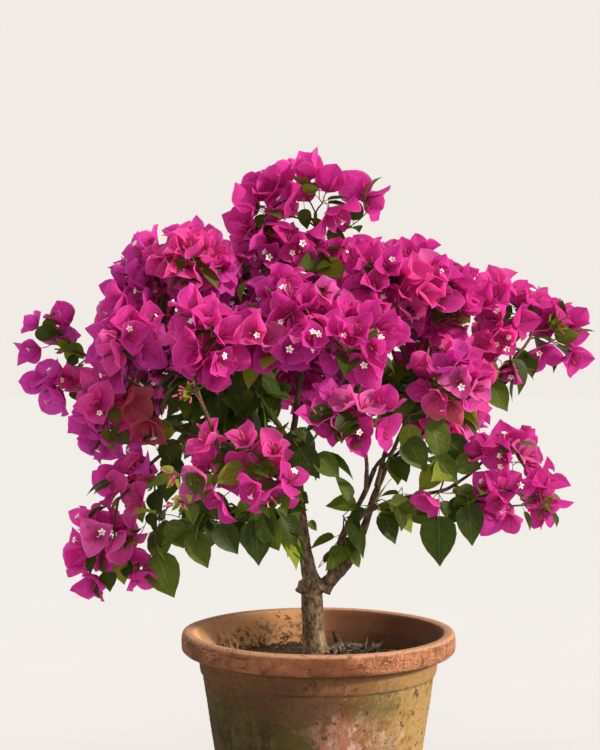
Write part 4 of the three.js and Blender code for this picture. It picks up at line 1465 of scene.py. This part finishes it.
def thick_wood():
    """Trunk, fork and stems as one skin of bark with relief."""
    wood = Batch("wood", "bark", None)
    for name in ["trunk", *STEMS]:
        line, radii = resampled(name, 3 * MM)
        rise = np.maximum(line[:, 2] - line[0, 2], 0)
        if name == "trunk":
            top = line[-1]
            radii = radii * TRUNK_SWELL + TRUNK_FLARE * np.exp(-rise / TRUNK_FADE)
        else:
            radii = radii * STEM_SWELL * (1 + STEM_FLARE * np.exp(-rise / STEM_FADE))
        wood.add_one(*sweep(line, radii, 16, cap=True))
    for *shift, size in KNOBS:
        line = top + np.array(shift) * MM + np.linspace(-0.4, 0.4, 5)[:, None] * size * MM * UP
        wood.add_one(*sweep(line, size * MM * np.array(KNOB_SHAPE), 12, cap=True))
    stub = np.array(STUB) * MM
    wood.add_one(*sweep(top + stub[:, :3], stub[:, 3], 10, cap=True))
    mesh = bpy.data.meshes.new("wood")
    points, triangles = (np.concatenate(rows).tolist() for rows in list(zip(*wood.parts))[:2])
    mesh.from_pydata(points, [], triangles)
    skin = modified(mesh, REMESH={"mode": "VOXEL", "voxel_size": VOXEL},
                    SMOOTH={"factor": 0.5, "iterations": 5}, TRIANGULATE={})
    co, normal = read(skin.vertices, "co"), read(skin.vertex_normals, "vector")
    furrow = np.abs(field(co * [1, 1, 0.3], 260, 5))
    ring = field(co * [0.35, 0.35, 1.6], 190, 8)
    size = np.clip((0.56 - co[:, 2]) / 0.18, 0.3, 1.0)
    lift = (1.2 * field(co, 60, 3) + 0.7 * (furrow - 0.3) + 0.35 * ring) * size
    return co + normal * (lift * MM)[:, None], read(skin.polygons, "vertices", int)


# ---- build ----
STALKS = np.array([14, 4, 2]) * MM  # of flowers, of the listed leaves and shoots, of the rest
STEM_BARE = 0.44  # no twigs leave the stems below this height
CROWN_HEART = np.array([0, 0, 0.62])
LEAF_COVER, LEAF_SPACING = 8 * MM, 20 * MM
LEAF_INSET, LEAF_RISE = (18 * MM, 34 * MM), 14 * MM  # of the twigs' ends, from the shell
AIRY_SHARE = 0.012  # of the leaves of the rule that the airy masses keep
END_LENGTHS, SIDE_LENGTHS = (34, 52), (26, 44)  # mm, leaves at the twigs' ends and behind them
TWIG_LENGTHS = (22 * MM, 38 * MM)  # leaves among the flowers
GREEN_SHARES, TWIG_SHARES = [0.55, 0.37, 0.08], [0.6, 0.32, 0.08]
LEAFY_TWIG = 1.5 * MM  # thicker twigs carry no leaves
LEFT_END, RIGHT_END, TOP_END = -0.34, 0.38, 0.84  # past these few leaves show
TWIG_LEAVES, END_LEAVES = 0.36, 0.05  # for each point of a twig
THORN_GAP, THORN_SHARE, THORN_FROM = 8 * MM, 0.22, 0.5
THORN_REACH, THORN_RADII = (6, 11), np.array([1.5, 0.75, 0.1]) * MM
# Each tint: its colour, a deeper one for foot and veins, and a paler one for the painted highlight
# at the edge and for mottling.
MAGENTA = {
    "bright": ((0.76, 0.045, 0.41), (0.58, 0.017, 0.25), (0.88, 0.19, 0.61)),
    "deep": ((0.68, 0.033, 0.35), (0.49, 0.012, 0.2), (0.8, 0.14, 0.52)),
    # violet: a purpler tint, dealt mostly on the left as painted shade
    "violet": ((0.7, 0.05, 0.45), (0.5, 0.018, 0.28), (0.76, 0.18, 0.58)),
    "rose": ((0.83, 0.066, 0.41), (0.62, 0.025, 0.24), (0.93, 0.26, 0.61)),
    "pale": ((0.82, 0.12, 0.5), (0.64, 0.06, 0.31), (0.92, 0.34, 0.68)),
    "old": ((0.64, 0.105, 0.185), (0.46, 0.05, 0.085), (0.74, 0.25, 0.27)),
}
GREEN = {
    "dark": ((0.036, 0.058, 0.008), (0.019, 0.032, 0.004), (0.1, 0.13, 0.03), (0.1, 0.18, 0.01)),
    "mid": ((0.08, 0.115, 0.013), (0.045, 0.072, 0.008), (0.17, 0.21, 0.05), (0.22, 0.33, 0.015)),
    "fresh": ((0.2, 0.245, 0.022), (0.12, 0.165, 0.012), (0.32, 0.35, 0.08), (0.42, 0.48, 0.03)),
}

stage()
lines = {name: centre_line(name) for name in ["trunk", *LIMBS]}
hub = lines["trunk"][0][-1]
tree = Tree()
for name in LIMBS:
    line, _ = resampled(name, 9 * MM)
    for place, way in zip(line, tangents(line)):
        if name not in STEMS or place[2] > STEM_BARE:
            tree.add(place, way, -1, np.linalg.norm(place - hub), on_limb=True)

bases, facing, opening, size, given = flower_sites()
leaf_feet, leaf_ways, leaf_lengths, leaf_kinds, leaf_turned = set_leaves()
_, shoot_feet, shoot_counts = zip(*set_rows(SET_SHOOTS))
shoot_feet = np.array(shoot_feet)
shoot_ways = unit(unit(shoot_feet - CROWN_HEART) + 0.3 * UP)
places, normals, owners = shell_points(LEAFY, LEAF_COVER)
leaf_out = unit(places - MIDDLES[owners])
leaf_goals = places + LEAF_RISE * UP - between(*LEAF_INSET, len(places))[:, None] * unit(
    normals + leaf_out)
kept = ~belongs(owners, HAND_HUNG) | (normals[:, 1] > 0.1) & (normals[:, 2] > -0.5)
kept &= ~belongs(owners, AIRY) | (rng.uniform(size=len(owners)) < AIRY_SHARE)
leaf_goals, leaf_out = leaf_goals[kept], leaf_out[kept]
pick = thinned(leaf_goals, LEAF_SPACING)
leaf_goals, leaf_out = leaf_goals[pick], leaf_out[pick]
counts = [len(bases), len(leaf_feet) + len(shoot_feet), len(pick)]
ends = tree.grow(
    np.concatenate([bases, leaf_feet, shoot_feet, leaf_goals]),
    np.concatenate([facing, leaf_ways, shoot_ways, loose(leaf_out, 0.5)]),
    np.repeat(STALKS, counts))
tree.thicken()

bracts = {name: Batch("bracts_" + name, "bracts", bract_look("bract_" + name, *colours))
          for name, colours in MAGENTA.items()}
tubes = Batch("flower_tubes", "bracts",
              tube_look("flower_tube", (0.35, 0.1, 0.1), (0.55, 0.1, 0.22), (0.8, 0.45, 0.45)))
buds = Batch("flower_buds", "bracts",
             tube_look("flower_bud", (0.42, 0.1, 0.12), (0.5, 0.05, 0.17), (0.17, 0.07, 0.05)))
stars = Batch("flower_stars", "bracts", star_look("flower_star"))
leaves = {name: Batch("leaves_" + name, "leaves", leaf_look("leaf_" + name, *colours))
          for name, colours in GREEN.items()}
stalks, shoots, thorns, twigs = (
    Batch(name + end, slot, shoot_look(name, *colours)) for name, end, slot, *colours in (
        ("leaf_stalk", "s", "leaves", (0.16, 0.2, 0.05), (0.12, 0.1, 0.03)),
        ("flower_stalk", "s", "bark", (0.2, 0.13, 0.05), (0.13, 0.045, 0.035)),
        ("thorn", "s", "bark", (0.2, 0.1, 0.05), (0.06, 0.03, 0.02)),
        ("twig", "s", "bark", (0.13, 0.06, 0.035), (0.045, 0.022, 0.014)),
    ))
add_flowers(bases, facing, opening, size, given, bracts, tubes, buds, stars)


def hang(kinds, feet, forward, face, lengths, **settings):
    """Leaves of each kind. lengths are theirs, or a range to draw them from."""
    for kind, batch in leaves.items():
        k = kinds == kind
        length = between(*lengths, int(k.sum())) if isinstance(lengths, tuple) else lengths[k]
        add_leaves(feet[k], forward[k], face[k], length, batch, stalks, **settings)


# leaves that hang on the leafy masses, each at the end of a twig and a few behind it
nodes, ways = np.array(tree.place), np.array(tree.way)
face = unit(np.array([0, -1, 0.35]) + leaf_turned[:, None] * scatter(len(leaf_feet)))
hang(leaf_kinds, leaf_feet, leaf_ways, face, leaf_lengths, curl=SET_CURL)
spots = []
for end, out in zip(ends[-len(pick):], leaf_out):
    spots.append((end, out, rng.uniform(*END_LENGTHS)))
    parent = tree.parent[end]
    if not tree.on_limb[parent]:
        spots.append((parent, out + 0.8 * scatter(1)[0], rng.uniform(*SIDE_LENGTHS)))
spots, outs, lengths = map(np.array, zip(*spots))
level = outs * [1, 1, 0.3]
forward = loose(0.75 * level - 0.5 * UP, 0.5)
face = loose(0.7 * level + 0.7 * UP, 0.45)
kinds = rng.choice(list(leaves), len(spots), p=GREEN_SHARES)
hang(kinds, nodes[spots], forward, face, lengths * MM)

# leaves along the twigs that carry flowers
thin = ~np.array(tree.on_limb) & tree.open & (np.array(tree.radius) < LEAFY_TWIG)
twig_nodes = np.flatnonzero(thin)
x, _, z = nodes[twig_nodes].T
outlying = (x < LEFT_END) | (x > RIGHT_END) | (z > TOP_END)
share = np.where(outlying, END_LEAVES, TWIG_LEAVES)
pick = twig_nodes[rng.uniform(size=len(twig_nodes)) < share]
out = unit(nodes[pick] - CROWN_HEART)
turn = scatter(len(pick))
turn = unit(turn - (turn * ways[pick]).sum(-1, keepdims=True) * ways[pick])
forward = unit(0.45 * ways[pick] + 0.8 * turn + 0.25 * out - 0.3 * UP)
face = loose(0.9 * UP + 0.5 * out, 0.3)
kinds = rng.choice(list(leaves), len(pick), p=TWIG_SHARES)
hang(kinds, nodes[pick], forward, face, TWIG_LENGTHS)

# buds, and thorns on the boughs
add_shoots(shoot_feet, shoot_ways, shoot_counts, buds, leaves["fresh"], shoots)
for name in LIMBS:
    line, radii = resampled(name, THORN_GAP)
    for place, way, radius in list(zip(line, tangents(line), radii))[3:-1]:
        if place[2] > THORN_FROM and rng.uniform() < THORN_SHARE:
            out = scatter(1)[0]
            out = unit(unit(out - (out @ way) * way) + 0.4 * way)
            reach = rng.uniform(*THORN_REACH) * MM
            rises = np.array([0.6 * radius, radius + 0.45 * reach, radius + reach])
            spine = place + rises[:, None] * out
            spine[2] -= 0.12 * reach * UP
            thorns.add_one(*sweep(spine, THORN_RADII, 5))

# twigs
for chain in tree.chains():
    radii = np.array([tree.radius[i] for i in chain])
    radii[0] = radii[1]
    (twigs if radii[0] > 0.7 * MM else shoots).add_one(*sweep(nodes[chain], radii, 5))

made = {batch.name: batch.make() for batch in (*bracts.values(), tubes, buds, stars,
                                               *leaves.values(), stalks, twigs, shoots, thorns)}

# bark
wood = bark_look()
trunk = mesh_piece("trunk_bark", "bark", wood, *thick_wood())
boughs = Batch("bough_bark", "bark", wood)
for name in BOUGHS:
    line, radii = resampled(name, 2.5 * MM)
    knots = 1 + 0.16 * field(line, 90, 4) + 0.1 * field(line, 260, 9)
    boughs.add_one(*sweep(line, radii * knots, 10, cap=True))
boughs = boughs.make()

# pot and soil
terracotta = pot_look()
pot = mesh_piece("pot_shell", "terracotta", terracotta, *pot_mesh())
mesh_piece("pot_base", "terracotta", terracotta, *pot_base())
soil = earth_look("soil", (0.016, 0.01, 0.006), (0.1, 0.065, 0.036), 1.5, 1.0,
                  (0.17, 0.11, 0.055))
ground = mesh_piece("soil_bed", "soil", soil, *soil_mesh())
soil_litter()

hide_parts("trunk", *STEMS)
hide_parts(*BOUGHS)
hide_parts("pot")
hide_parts("soil")
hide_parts(*BLOOM)
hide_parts(*LEAFY)
